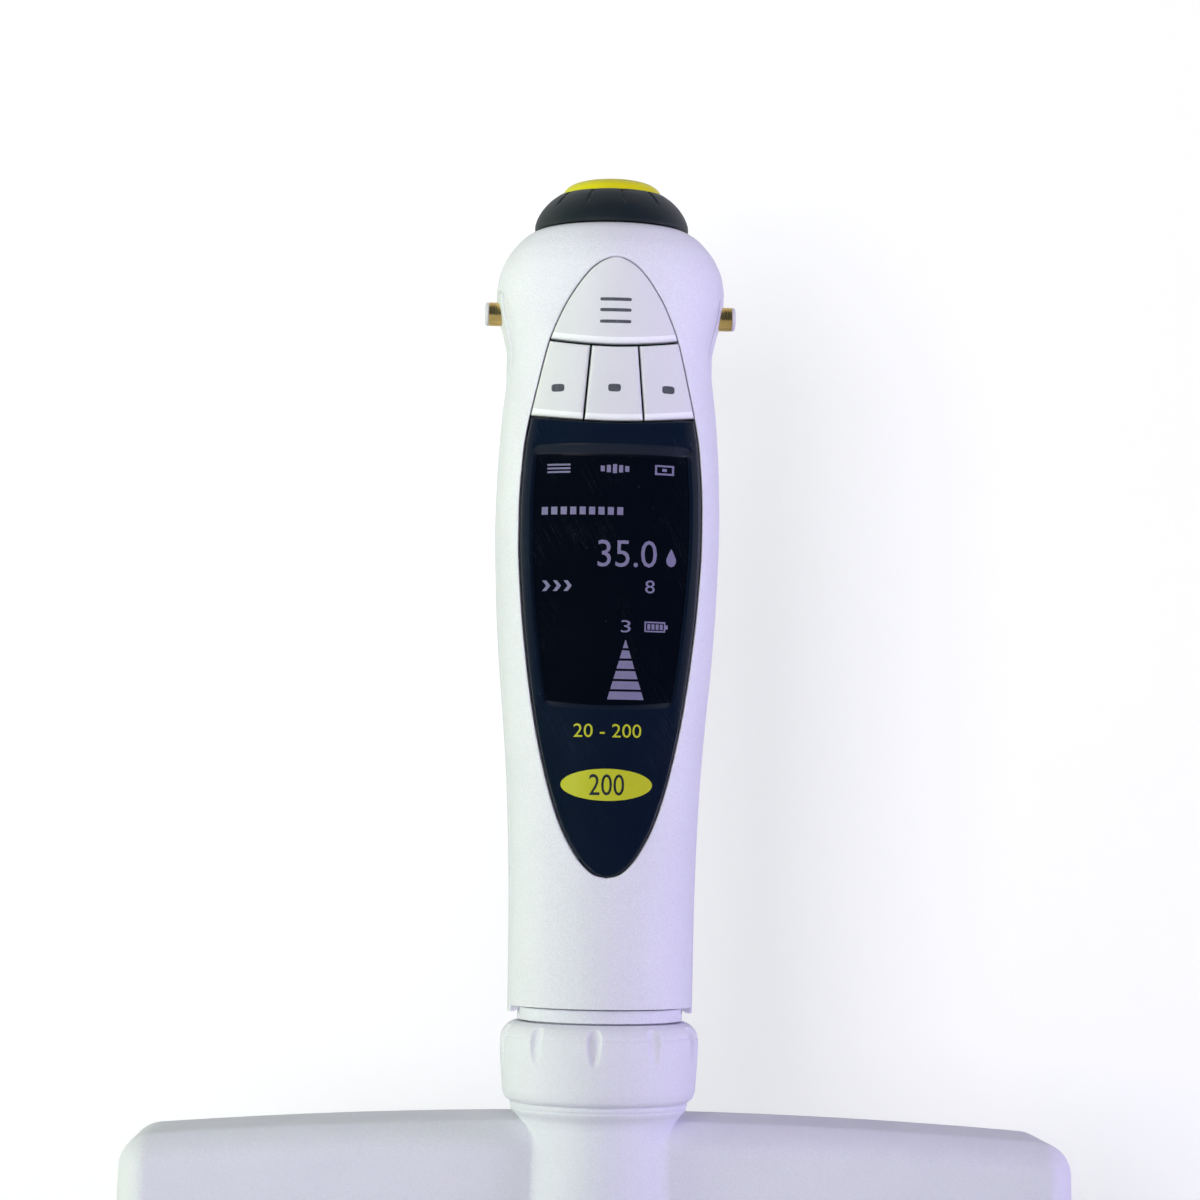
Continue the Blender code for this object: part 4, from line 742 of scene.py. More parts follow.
def front_casing(rim):
    """Front shell: rows at falling heights, columns from the split line to the opening's edge.

    The first columns run round the side by angle, the last ones lie at the outline of keys and
    window plus a few steps, so that the edge is rounded; a ledge carries the window.
    """
    z = levels(HANDLE[0][0], (8.5, 0.3), (5.7, 0.35), (APEX, 0.1), (3.5, 0.12), (1.0, 0.15), (-9.5, 0.35),
               (-11.0, 0.25), (-13.0, 0.5), (-67.0, 1.1), (TIP, 0.15), (TIP - 0.5, 0.12), (HANDLE[-1][0], 1.4))
    z = z[:, None]
    half, lean = outline_half(z), outline_lean(z)
    end = np.maximum(half, 0.0)
    start = np.maximum(half + rim * lean, end + 0.4)
    shares = np.concatenate(([0.0, 0.003, 0.008, 0.015], np.linspace(0.03, 1.0, 58)))
    split = split_angle(z, SPLIT - SPLIT_GAP / 2)
    turn = np.arctan2(-face_y(start, z), start)
    reach = (turn - split) * SIDE_REACH * shares
    sides = pocketed(along_skin(split, turn, z, drop(reach, SPLIT_ROUND), shares))
    steps = np.array([0.66, 0.36, 0.17, 0.05, 0.0])
    x = end + (start - end) * steps
    edge = on_face(x, z, drop((x - half) / lean, rim))
    opened = (z < APEX - 1e-6) & (z > TIP + 1e-6)
    ledge = np.where((z < -16.5) & (z > -68.5), 1.1, 0.0)
    seat = np.where(opened, 1.05, drop((end - half) / lean, rim))
    wall = np.concatenate((on_face(end, z, seat), on_face(end - ledge, z, seat)), axis=1)
    outer = np.concatenate((sides, edge, wall), axis=1)
    x_in = np.concatenate((x, end, end - ledge), axis=1)
    turn = np.arctan2(-face_y(start, z, WALL), start)
    inner = np.concatenate((along_skin(split, turn, z, WALL, shares), on_face(x_in, z, WALL)), axis=1)
    piece = plate(with_deck(outer, HANDLE[0][0], DECK_BORE),
                  with_deck(casing_inside(inner), DECK_FOOT, DECK_BORE))
    return mirrored(piece)


def cover_edge(z, clear=0.0):
    """Half width of the battery cover at z, its corners rounded."""
    corner = COVER_CORNER - clear
    inside = np.clip(np.minimum(z - COVER_FOOT, COVER_TOP - z) - clear, 0.0, corner)
    return COVER_HALF - clear - corner + np.sqrt(np.maximum(corner ** 2 - (corner - inside) ** 2, 0.0))


def rear_casing():
    """Rear shell: columns from the middle to the cover's edge, to the hook slot's end, to the split.

    The cover's opening and the slot of the finger hook are blocks that are left out.
    """
    z = levels(HANDLE[0][0], (8.5, 0.3), (HOOK_SLOT_TOP, 0.4), (HOOK_SLOT_FOOT, 0.5), (1.0, 0.15), (-9.5, 0.35),
               (-11.0, 0.25), (COVER_TOP, 1.4), (COVER_TOP - 3.0, 0.25), (COVER_FOOT + 3.0, 2.0),
               (COVER_FOOT, 0.25), (HANDLE[-1][0], 1.4), (HANDLE[-1][0] - REAR_SKIRT, 0.8))[:, None]
    cover = cover_edge(z)
    slot = np.full_like(z, HOOK_SLOT_REACH - math.pi / 2)
    split = split_angle(z, SPLIT + SPLIT_GAP / 2)
    shares = np.concatenate((np.linspace(0.0, 0.97, 34), [0.985, 0.992, 0.997, 1.0]))
    middle = np.linspace(0.0, 1.0, 9)
    turn = np.arctan2(-face_y(cover, z, behind=True), cover)
    inner_turn = np.arctan2(-face_y(cover, z, WALL, True), cover)
    reach = (split - slot) * SIDE_REACH * (1 - shares)
    outer = np.concatenate((
        on_face(cover * middle, z, 0.0, True), along_skin(turn, slot, z, 0.0, np.linspace(0, 1, 17)[1:]),
        pocketed(along_skin(slot, split, z, drop(reach, SPLIT_ROUND), shares)[:, 1:])), axis=1)
    inner = np.concatenate((
        on_face(cover * middle, z, WALL, True),
        along_skin(inner_turn, slot, z, WALL, np.linspace(0, 1, 17)[1:]),
        along_skin(slot, split, z, WALL, shares)[:, 1:]), axis=1)
    inner[-1] = skin(np.arctan2(-inner[-1, :, 1], inner[-1, :, 0]), HANDLE[-1][0] - REAR_SKIRT, 0.6)
    row = (z[:-1, 0] + z[1:, 0]) / 2
    keep = np.ones((len(row), outer.shape[1] - 1), bool)
    keep[np.ix_((row < COVER_TOP) & (row > COVER_FOOT), np.arange(8))] = False
    keep[np.ix_((row < HOOK_SLOT_TOP) & (row > HOOK_SLOT_FOOT), np.arange(24))] = False
    outer = with_deck(outer, HANDLE[0][0], DECK_BORE)
    inner = with_deck(casing_inside(inner), DECK_FOOT, DECK_BORE)
    deck = len(DECK_SHARES)
    return mirrored(plate(outer, inner, np.pad(keep, ((deck, 0), (0, 0)), constant_values=True)))


def battery_cover():
    """Cover plate in the rear shell, with rounded edges and a row of low grip ridges."""
    z = levels(COVER_TOP - FIT, (COVER_TOP - FIT - 0.3, 0.08), (COVER_TOP - 3.2, 0.3), (-50.0, 0.18),
               (COVER_FOOT + 3.2, 1.6), (COVER_FOOT + FIT + 0.3, 0.3), (COVER_FOOT + FIT, 0.08))[:, None]
    half = cover_edge(z, FIT)
    x = stations(-half[:, 0], half[:, 0], 0.3, 25)
    near = np.minimum(np.minimum(half - np.abs(x), COVER_TOP - FIT - z), z - COVER_FOOT - FIT)
    ridge = 0.26 * np.cos(math.pi * (z + 45.5) / 1.3) ** 2 * (np.abs(z + 45.5) < 3.25)
    ridge = ridge * np.clip((5.4 - np.abs(x)) / 0.8, 0, 1) ** 0.5
    outer = on_face(x, z, drop(near, 0.3) - ridge, True)
    return plate(outer, on_face(x, z, COVER_THICK, True))


# Window, display, keys


def screen_edge(z):
    """Half width of the display's field, which follows the window's outline."""
    half = outline_half(z)
    return np.maximum(half - np.minimum(SCREEN_SIDE, 0.3 * half), 0.0)


def window_pane():
    """Window pane: rows are arcs that turn from the keys' foot to the display's top and foot.

    Row s lies at z = s + k(s) x^2. The pane is let in by the display's depth over its field, with
    sloping sides, and its outer edge is rounded. The second finish marks the field's floor.
    """
    tip = TIP + FIT * float(outline_lean(np.array(TIP))) / (OGIVE[-2][1] / (OGIVE[-2][0] - TIP))
    top = KEY_FOOT - KEY_GAP
    row = levels(top, (top - 0.3, 0.07), (FIELD_TOP, 0.5), (SCREEN_TOP, 0.3), (SCREEN_FOOT, 1.2),
                 (SCREEN_FOOT - 0.6, 0.2), (-67.0, 1.0), (-69.4, 0.2), (tip, 0.06))[:, None]
    bend = np.interp(-row, [-top, -FIELD_TOP, -SCREEN_TOP, -SCREEN_FOOT, -TIP],
                     [KEY_BEND, 0.0, 0.0, SCREEN_BEND, SCREEN_BEND])
    half = edge_of(row, bend, FIT)
    field = np.minimum(screen_edge(row), 0.9 * half)
    slope = np.minimum(field + 0.45, 0.5 * (field + half))
    steps = edge_steps(WINDOW_ROUND)
    rim = np.maximum(half - steps, half - (half - slope) * steps / WINDOW_ROUND * 0.8)
    span = np.concatenate((np.linspace(0, 1, 15) * field, slope, 0.5 * (slope + rim[:, -1:]), rim[:, ::-1]),
                          axis=1)
    x = np.concatenate((-span[:, :0:-1], span), axis=1)
    z = row + bend * x ** 2
    sides = np.clip((slope - np.abs(x)) / np.maximum(slope - field, 1e-6), 0, 1)
    ends = np.clip((FIELD_TOP - row) / 1.15, 0, 1) * np.clip((row - SCREEN_FOOT + 0.6) / 0.6, 0, 1)
    near = np.minimum((half - np.abs(x)) / outline_lean(z), top - row)
    depth = SCREEN_DEPTH * np.minimum(sides, ends) + drop(near, WINDOW_ROUND)
    place, quads = plate(on_face(x, z, depth), on_face(x, z, WINDOW_THICK))
    centre = place[quads].mean(axis=1)
    floor = ((np.abs(centre[:, 0]) < screen_edge(centre[:, 2])) & (centre[:, 2] < SCREEN_TOP)
             & (centre[:, 2] > SCREEN_FOOT + SCREEN_BEND * centre[:, 0] ** 2)
             & (centre[:, 1] < face_y(centre[:, 0], centre[:, 2], 0.6)))
    return place, quads, floor.astype(int)


def key_plate(top, top_bend, foot, foot_bend, left, right, edge):
    """A key as a plate of the handle's front between two arcs and two side edges.

    left and right give the side edges as functions of z, and None means the pointed outline.
    The second finish is a paler plastic on the rounded lower edge: a painted highlight for the light that edge
    catches.
    Row v lies at z = (1 - v)(top + top_bend x^2) + v (foot + foot_bend x^2).
    """
    size = top - foot
    foot_edge = 2.2 * edge
    share = np.concatenate((edge_steps(edge) / size, np.linspace(0.06, 0.9, 30),
                            1 - edge_steps(foot_edge, 6)[::-1] / size))[:, None]
    level, bend = top + (foot - top) * share, top_bend + (foot_bend - top_bend) * share

    def side(form, sign):
        if form is None:
            return sign * edge_of(level, bend, KEY_GAP / 2)
        x = form(level)
        for _ in range(6):
            x = form(level + bend * x ** 2)
        return x

    low, high = side(left, -1), side(right, 1)
    x = stations(low[:, 0], high[:, 0], edge, 33)
    z = level + bend * x ** 2
    near = np.minimum(x - low, high - x)
    pointed = left is None and right is None
    near = near / np.where(near < 0.8, outline_lean(z) if pointed else 1.0, 1.0)
    near = near if pointed else np.minimum(near, top - level)
    fall = np.maximum(drop(near, edge), drop(level - foot, foot_edge) * 0.7)
    place, quads = plate(on_face(x, z, fall - KEY_PROUD), on_face(x, z, KEY_THICK))
    centre = place[quads].mean(axis=1)
    off = centre[:, 2] - foot - foot_bend * centre[:, 0] ** 2
    # Faces of the rounded lower edge, which get the paler plastic as a painted highlight.
    painted_highlight = (off < foot_edge) & (centre[:, 1] < face_y(centre[:, 0], centre[:, 2], 0.6))
    return place, quads, painted_highlight.astype(int)


def key_split(sign, gap):
    """Edge between two soft keys: half way lines that open towards the foot."""
    def edge(z):
        part = (z - KEY_FOOT) / (BUTTON_FOOT - KEY_FOOT)
        return sign * (KEY_SPLIT_FOOT + (KEY_SPLIT_TOP - KEY_SPLIT_FOOT) * part + gap)
    return edge


def pin_of(centre, stop, radius):
    """Round pin along Y, from inside a key inwards to the given depth."""
    start = float(face_y(np.array(abs(centre[0]) + radius), np.array(centre[1]), 0.8))
    profile = np.array([(0, start), (radius, start), (radius, stop), (0, stop)], float)
    turn = turned(profile, 32)
    return surface(points(centre[0] + turn[..., 0], turn[..., 2], centre[1] + turn[..., 1]), around=True)


def printed(shapes, inset, lift):
    """Prints: flat shapes in (x, z) bent onto the handle's front, as thin closed plates."""
    made = []
    for flat, faces in shapes:
        count = len(flat)
        front = on_face(flat[:, 0], flat[:, 1], inset) - (0, lift, 0)
        sides = np.concatenate([faces[:, [k, (k + 1) % faces.shape[1]]] for k in range(faces.shape[1])])
        key, back_key = sides[:, 0] * count + sides[:, 1], sides[:, 1] * count + sides[:, 0]
        rim = sides[~np.isin(key, back_key)]
        walls = np.stack((rim[:, 1], rim[:, 0], rim[:, 0] + count, rim[:, 1] + count), -1)
        place = np.concatenate((front, front + (0, PRINT_THICK, 0)))
        made += [(place, faces), (place, faces[:, ::-1] + count), (place, walls)]
    return made


def flat_surface(grid):
    """Points and quads of one flat grid in (x, z)."""
    return grid.reshape(-1, 2), corners(numbered(grid)).reshape(-1, 4)


def lens(x, z, half_width, half_height, power, count=41):
    """Flat rounded shape: |dx / w|^n + |dz / h|^n = 1, cut into strips."""
    across = -np.cos(np.linspace(0, math.pi, count))
    height = half_height * np.maximum(1 - np.abs(across) ** power, 0.0) ** (1 / power)
    return flat_surface(np.stack((np.stack((x + half_width * across, z + height), -1),
                                  np.stack((x + half_width * across, z - height), -1))))


def bar(left, right, z, height, left_foot=None, right_foot=None):
    """Flat bar with straight ends; the foot may be wider or narrower than the top."""
    left_foot = left if left_foot is None else left_foot
    right_foot = right if right_foot is None else right_foot
    share = np.linspace(0, 1, max(2, int(np.ceil((right_foot - left_foot) / 0.35)) + 1))
    upper = np.stack((left + (right - left) * share, np.full_like(share, z + height / 2)), -1)
    lower = np.stack((left_foot + (right_foot - left_foot) * share, np.full_like(share, z - height / 2)), -1)
    return flat_surface(np.stack((upper, lower)))


def tip_picture(apex, left, right, foot):
    """Sign for a tip: six bars with narrow gaps that widen from the apex to the foot."""
    fall = foot - apex[1]
    left, right = (left - apex[0]) / fall, (right - apex[0]) / fall
    made = []
    for k in range(6):
        upper, lower = k * fall / 6, (k + 1) * fall / 6 + 0.28
        made.append(bar(apex[0] + left * upper - 0.04, apex[0] + right * upper + 0.04,
                        apex[1] + (upper + lower) / 2, upper - lower,
                        apex[0] + left * lower - 0.04, apex[0] + right * lower + 0.04))
    return made


def numbers(text, left, right, z, height):
    """Plain numbers from Blender's own font as flat triangles, stretched into a box."""
    curve = bpy.data.curves.new("numbers", "FONT")
    curve.body = text
    curve.resolution_u = 3
    piece = bpy.data.objects.new("numbers", curve)
    bpy.context.scene.collection.objects.link(piece)
    bpy.context.view_layer.update()
    mesh = bpy.data.meshes.new_from_object(piece.evaluated_get(bpy.context.evaluated_depsgraph_get()))
    work = bmesh.new()
    work.from_mesh(mesh)
    bmesh.ops.remove_doubles(work, verts=work.verts, dist=1e-5)
    xs = [vert.co.x for vert in work.verts]
    for cut in np.linspace(min(xs), max(xs), max(3, int((right - left) / 0.35)))[1:-1]:
        bmesh.ops.bisect_plane(work, geom=work.verts[:] + work.edges[:] + work.faces[:], dist=1e-6,
                               plane_co=(cut, 0, 0), plane_no=(1, 0, 0))
    bmesh.ops.triangulate(work, faces=work.faces)
    work.to_mesh(mesh)
    work.free()
    place = np.empty(len(mesh.vertices) * 3)
    mesh.vertices.foreach_get("co", place)
    faces = np.empty(len(mesh.polygons) * 3, np.int32)
    mesh.polygons.foreach_get("vertices", faces)
    flat = place.reshape(-1, 3)[:, :2]
    low, high = flat.min(axis=0), flat.max(axis=0)
    flat = (left, z - height / 2) + (flat - low) / (high - low) * (right - left, height)
    bpy.data.objects.remove(piece)
    bpy.data.curves.remove(curve)
    bpy.data.meshes.remove(mesh)
    return flat, faces.reshape(-1, 3)


# Turned and swept parts


def wheel_form():
    """Wheel: turned profile, less twelve narrow grooves over its sloping shoulder.

    Groove k stands at 30 (k + 1/4) degrees; its depth is the root of 0.22^2 less the distance
    along the circle squared.
    """
    foot, top = 10.6, WHEEL_TOP
    slope = np.array([(9.62, foot), (9.74, foot + 0.45), (9.66, foot + 1.1), (9.3, foot + 2.0),
                      (8.72, foot + 2.9), (7.9, foot + 3.8), (7.2, foot + 4.35)])
    stop = np.linspace(0, 1, len(slope))
    table = np.column_stack((stop, slope))
    share = np.linspace(0, 1, 40)
    shoulder = np.stack((curve_through(table, share, 1), curve_through(table, share, 2)), -1)
    inner = softened([(7.2, foot + 4.35), (6.85, top + 0.3), (6.5, top + 0.2), (6.5, 4.3), (7.2, 4.3),
                      (7.2, foot), (9.62, foot)], [0.1, 0.12, 0.1, 0.05, 0.05, 0.1, 0.1], 4, False)
    profile = np.concatenate((shoulder, spread(inner[1:-1], 0.4, False)))
    grid = turned(profile, 720)
    angle = np.arctan2(grid[..., 1], grid[..., 0])
    step = math.pi / 6
    off = (angle / step - 0.25) - np.round(angle / step - 0.25)
    radius, height = profile[:, :1], profile[:, 1:]
    reach = np.abs(off) * step * radius
    fade = np.clip((height - foot - 2.3) / 0.9, 0, 1)
    cut = np.sqrt(np.maximum(0.22 ** 2 - reach ** 2, 0)) * fade * (radius > 6.75)
    scale = (radius - 0.75 * cut) / radius
    return surface(points(grid[..., 0] * scale, grid[..., 1] * scale, grid[..., 2] - 0.65 * cut),
                   around=True, ends=True)


def dome_form():
    """Push button: it stands 2.3 times the 2.6th root of 1 - s^3.2 over the wheel, s the radius' share."""
    share = np.sin(np.linspace(0, math.pi / 2, 40))
    crown = np.stack((6.3 * share, WHEEL_TOP + 2.3 * np.maximum(1 - share ** 3.2, 0) ** (1 / 2.6)), -1)
    skirt = np.array([(6.3, 13.5), (6.3, 8.2), (1.5, 8.2), (1.5, 3.9), (0, 3.9)], float)
    return knob_of(np.concatenate((crown, skirt)), 144)


def contact_form(side, profile):
    """Profile of (radius, distance from the axis) turned about X, to the given side."""
    grid = turned(spread(softened(profile, 0.12, 3, False), 0.6, False), 72)
    return surface(points(side * grid[..., 2], grid[..., 0], grid[..., 1]), around=True)


def swollen(value, power):
    """Power of a value's size that keeps its sign."""
    return np.copysign(np.abs(value) ** power, value)


def hook_form():
    """Finger hook: a rounded section carried along a smooth path that rises and drops to its tip."""
    path = np.array(HOOK_ARM, float)
    stop = np.concatenate(([0.0], np.cumsum(np.linalg.norm(np.diff(path[:, :2], axis=0), axis=1))))
    share = np.concatenate((np.linspace(0, stop[-1] - 1.0, 56),
                            stop[-1] - np.array([0.7, 0.4, 0.18, 0.04, 0.0])))
    table = np.column_stack((stop, path))
    y, z, thick, wide = (curve_through(table, share, column) for column in (1, 2, 3, 4))
    along = np.stack((np.gradient(y, share), np.gradient(z, share)), -1)
    along /= np.linalg.norm(along, axis=1)[:, None]
    cap = np.sqrt(np.clip(1 - np.clip(1 - (stop[-1] - share) / 1.0, 0, 1) ** 2, 0, 1))
    angle = 2 * math.pi * np.arange(64) / 64
    across = swollen(np.cos(angle), 0.6) * (wide * (0.8 + 0.2 * cap) * cap)[:, None]
    high = swollen(np.sin(angle), 0.8) * (thick * cap)[:, None]
    ring = points(across, y[:, None] - along[:, 1:] * high, z[:, None] + along[:, :1] * high)
    ring[..., 1] = np.maximum(ring[..., 1], np.sqrt(np.maximum(15.3 ** 2 - ring[..., 0] ** 2, 0)))
    first = np.broadcast_to((0.0, ring[0, :, 1].mean(), ring[0, :, 2].mean()), ring[:1].shape)
    return surface(np.concatenate((first, ring)), around=True)


def curve_through(table, where, column):
    """Smooth curve through a table's points, with slopes from the neighbours."""
    xs, ys = table[:, 0], table[:, column]
    return cubic(xs, ys, np.gradient(ys, xs), where)


def sector_form(radii, heights, half_angle, cut=0.35, count=60):
    """Piece of a ring behind the handle: a rounded rectangle carried round the axis."""
    ring = softened([(radii[0], heights[0]), (radii[1], heights[0]), (radii[1], heights[1]),
                     (radii[0], heights[1])], cut, 4)
    middle = ring.mean(axis=0)
    angles = np.linspace(-half_angle, half_angle, count)
    shrink = np.ones(count)
    shrink[:3] = 0.0, 0.55, 0.85
    shrink[-3:] = shrink[2::-1]
    reach = half_angle - cut / radii[1] * np.array([0.0, 0.0, 0.35])
    angles[:3], angles[-3:] = -reach, reach[::-1]
    section = middle + (ring - middle)[None] * shrink[:, None, None]
    turn = angles[:, None]
    return surface(points(section[..., 0] * np.sin(turn), section[..., 0] * np.cos(turn), section[..., 1]),
                   around=True)


def nut_form(line):
    """Collar nut: turned profile, less ten scoops that narrow to a point.

    Scoop k stands at -95.5 + 36 k degrees. It is a round groove whose centre moves outwards as it
    goes down, so its surface lies at A cos d - root(1 - A^2 sin^2 d), d the angle off its middle.
    """
    outside = softened([(9.2, -88.8), (10.75, -88.8), (11.55, -89.2), (12.15, -90.0), (12.37, -90.75),
                        (12.35, -92.8), (12.05, -97.3), (11.75, -98.2), (11.05, -98.7), (9.6, -98.7),
                        (9.6, -97.7), (10.4, -97.7), (10.4, -94.0), (9.2, -94.0)],
                       [0.1, 0.15, 0.4, 0.4, 0.5, 0.6, 0.3, 0.3, 0.3, 0.1, 0.1, 0.1, 0.1, 0.1], 5)
    profile = spread(outside, np.where(outside[:, 0] > 11.0, 0.12, 2.0))
    grid = turned(profile, 540)
    radius, height = profile[:, :1], profile[:, 1:]
    groove = line * np.exp(-((height + 90.62) / 0.1) ** 2) * (radius > 11)
    angle = np.arctan2(grid[..., 1], grid[..., 0])
    step = math.pi / 5
    share = angle / step + 95.5 / 36
    off = (share - np.round(share)) * step
    axis = 12.5 + (-89.6 - height) / 5.6
    inside = np.maximum(1.0 - (axis * np.sin(off)) ** 2, 0)
    scoop = np.where(inside > 0, axis * np.cos(off) - np.sqrt(inside), 99.0)
    body = radius - groove
    depth = np.where((radius > 10.6) & (height < -88.82) & (height > -98.0), np.maximum(body - scoop, 0.0), 0.0)
    scale = (body - depth) / radius
    return surface(points(grid[..., 0] * scale, grid[..., 1] * scale, height), around=True, ends=True)


def case_outline(inset):
    """Front outline of the manifold case: arched top, round shoulders, sides that spread."""
    corner = CASE_CORNER - inset
    x = np.linspace(0, CASE_HALF - CASE_CORNER, 41)
    arch = np.stack((x, CASE_TOP - inset - x ** 2 / (2 * CASE_ARCH)), -1)
    angle = np.linspace(math.pi / 2 - math.atan(arch[-1, 0] / CASE_ARCH), 0, 17)
    bend = corner * np.stack((np.cos(angle), np.sin(angle)), -1)
    bend = (arch[-1] - bend[0] + bend)[1:]
    foot = np.array((CASE_HALF - inset + CASE_SPREAD, CASE_FOOT))
    side = bend[-1] + (foot - bend[-1]) * np.linspace(0, 1, 25)[1:, None]
    right = np.concatenate((arch, bend, side))
    return np.concatenate((right[:0:-1] * (-1, 1), right))


def case_fall(below):
    """How far the case's front edge stands back at a depth below its top.

    The skin leans by 1.08 (1 - (depth / 4)^1.6) radians, summed from 4 mm below the top upwards.
    """
    depth = np.linspace(0, 4, 161)
    lean = np.tan(1.08 * (1 - (depth / 4) ** 1.6)) * 0.025
    return np.interp(below, depth, np.cumsum(lean[::-1])[::-1] - lean[-1])


def along_outline(section):
    """Section of (inset, y) carried along the case's outline, with flat faces over its ends and its foot."""
    lines = [(case_outline(inset), y) for inset, y in section]
    grid = np.stack([points(line[:, 0], y, line[:, 1]) for line, y in lines])
    place, quads = surface(grid)
    index = numbered(grid)
    flats = [index[-1].tolist(), index[0].tolist(), index[:, 0].tolist() + index[::-1, -1].tolist()]
    return [(place, quads), (place, flats)]


def case_form():
    """Manifold case: a rounded section carried along the arched outline, with a flat front wall.

    Rows run from the inside of the front wall over the rear edge and the outside to the front.
    Flat faces close the front wall on both sides, and one more the foot.
    """
    rear = np.radians(np.linspace(25, 90, 9))
    section = [(CASE_WALL, CASE_FRONT + CASE_WALL)]
    section += [(CASE_ROUND * (1 - math.sin(a)), CASE_REAR - CASE_ROUND * (1 - math.cos(a))) for a in rear]
    top = CASE_FRONT + float(case_fall(0.0))
    section += [(0.0, y) for y in np.linspace(CASE_REAR - CASE_ROUND, top + 0.35, 9)[1:]]
    section += [(0.05, top + 0.06)]
    section += [(below, CASE_FRONT + float(case_fall(below))) for below in np.linspace(0.2, 4.0, 26)]
    section += [(4.1, CASE_FRONT)]
    return along_outline(section)


def column_form():
    """Front column: turned about the axis, and cut off flat inside the case's front wall."""
    profile = spread(softened(COLUMN, 0.2, 5, False), 0.8, False)
    grid = turned(profile, 240)
    hidden = grid[..., 2] < -102.4
    grid[..., 1] = np.where(hidden, np.minimum(grid[..., 1], CASE_FRONT + 1.7), grid[..., 1])
    ends = [np.broadcast_to((0.0, CASE_FRONT, z), grid[:1].shape) for z in (COLUMN[0][1], CASE_FOOT)]
    return surface(np.concatenate((ends[0], grid, ends[1])), around=True)


def column_blend():
    """Soft inner corner between the column and the case's front.

    Its front lies at the soft maximum of both depths: the larger one, plus k / 4 times the square
    of (1 - difference / k) where they differ by less than k.
    """
    z = levels(CASE_TOP - 0.3, (CASE_TOP - 1.5, 0.1), (CASE_TOP - 4.5, 0.2), (CASE_FOOT, 2.5))[:, None]
    x = np.concatenate((np.linspace(0, 5, 6)[:-1], np.linspace(5, 12.6, 77)))[None]
    case = -CASE_FRONT - case_fall(np.maximum(CASE_TOP - x ** 2 / (2 * CASE_ARCH) - z, 0.2))
    rows = np.array(sorted((z, radius) for radius, z in COLUMN))
    radius = np.interp(z, rows[:, 0], rows[:, 1])
    column = np.where(x < radius, np.sqrt(np.maximum(radius ** 2 - x ** 2, 0)), 0.0)
    reach = 0.15 + 1.5 * np.clip((CASE_TOP - 0.3 - z) / 3.0, 0, 1)
    soft = np.maximum(1 - np.abs(case - column) / reach, 0) ** 2 * reach / 4
    front = points(x, -np.maximum(case, column) - soft + 0.01 * (soft < 1e-6), z)
    return mirrored(plate(front, points(x, front[..., 1] + 0.5, z)))


def lid_form():
    """Rear cover of the case: the outline drawn in, with softened edges and flat faces."""
    inset, cut = CASE_WALL + FIT, 0.35
    front, rear = CASE_REAR - CASE_WALL, CASE_REAR - CASE_WALL + 1.6
    steps = np.radians(np.linspace(0, 90, 5))
    section = [(inset + cut, front), (inset, front + 0.05)]
    section += [(inset + cut * (1 - math.cos(a)), rear - cut * (1 - math.sin(a))) for a in steps]
    section += [(inset + cut + 0.5, rear)]
    return along_outline(section)


def ejector_form():
    """Ejector strip: a cell round each channel, from the round hole out to the cell's edge.

    The point at angle a and share t lies between hole and cell edge; heights fall off towards
    the strip's outer edge by a rounded rim, and over the holes by a small chamfer.
    """
    half_x, half_y, low, high, hole = 56.6, 6.2, -161.8, -157.0, 2.9
    angle = 2 * math.pi * (np.arange(48) + 0.5) / 48
    direction = np.stack((np.cos(angle), np.sin(angle)), -1)
    made = []
    for k in range(CHANNELS):
        centre = channel_x(k)
        left = -half_x if k == 0 else centre - PITCH / 2
        right = half_x if k == CHANNELS - 1 else centre + PITCH / 2
        reach_x = np.where(direction[:, 0] > 0, right - centre, centre - left)
        times = np.minimum(reach_x / np.abs(direction[:, 0]), half_y / np.abs(direction[:, 1]))
        edge = direction * times[:, None]
        edge = square_corners(edge, (left - centre, right - centre), half_y)
        share = np.array([0.0, 0.05, 0.35, 0.7, 0.86, 0.93, 0.97, 1.0])[:, None, None]
        flat = direction * hole + (edge - direction * hole) * share
        x, y = centre + flat[..., 0], flat[..., 1]
        near = np.minimum(half_x - np.abs(x), half_y - np.abs(y))
        fall = drop(near, 0.9) + np.where(share[..., 0] == 0.0, 0.2, 0.0)
        top = points(x, ROW_Y + y, high - fall)
        foot = points(x, ROW_Y + y, low + fall)
        made.append(closed_cell(top, foot, near[-1] < 1e-6))
    return made


def square_corners(edge, sides, half_y):
    """Moves the point nearest to each corner of a cell onto it."""
    edge = edge.copy()
    for x in sides:
        for y in (-half_y, half_y):
            edge[np.argmin(np.linalg.norm(edge - (x, y), axis=1))] = (x, y)
    return edge


def closed_cell(top, foot, outer):
    """Top, foot and hole wall of a cell, with a side wall only where it is the strip's own edge."""
    index = numbered(top)
    under = index + index.size
    index, under = (np.concatenate((each, each[:, :1]), axis=1) for each in (index, under))
    border = outer & np.roll(outer, -1)
    hole = np.stack((index[0, 1:], index[0, :-1], under[0, :-1], under[0, 1:]), -1)
    side = np.stack((index[-1, :-1], index[-1, 1:], under[-1, 1:], under[-1, :-1]), -1)[border]
    quads = np.concatenate((corners(index).reshape(-1, 4), corners(under).reshape(-1, 4)[:, ::-1], hole, side))
    return np.concatenate((top.reshape(-1, 3), foot.reshape(-1, 3))), quads


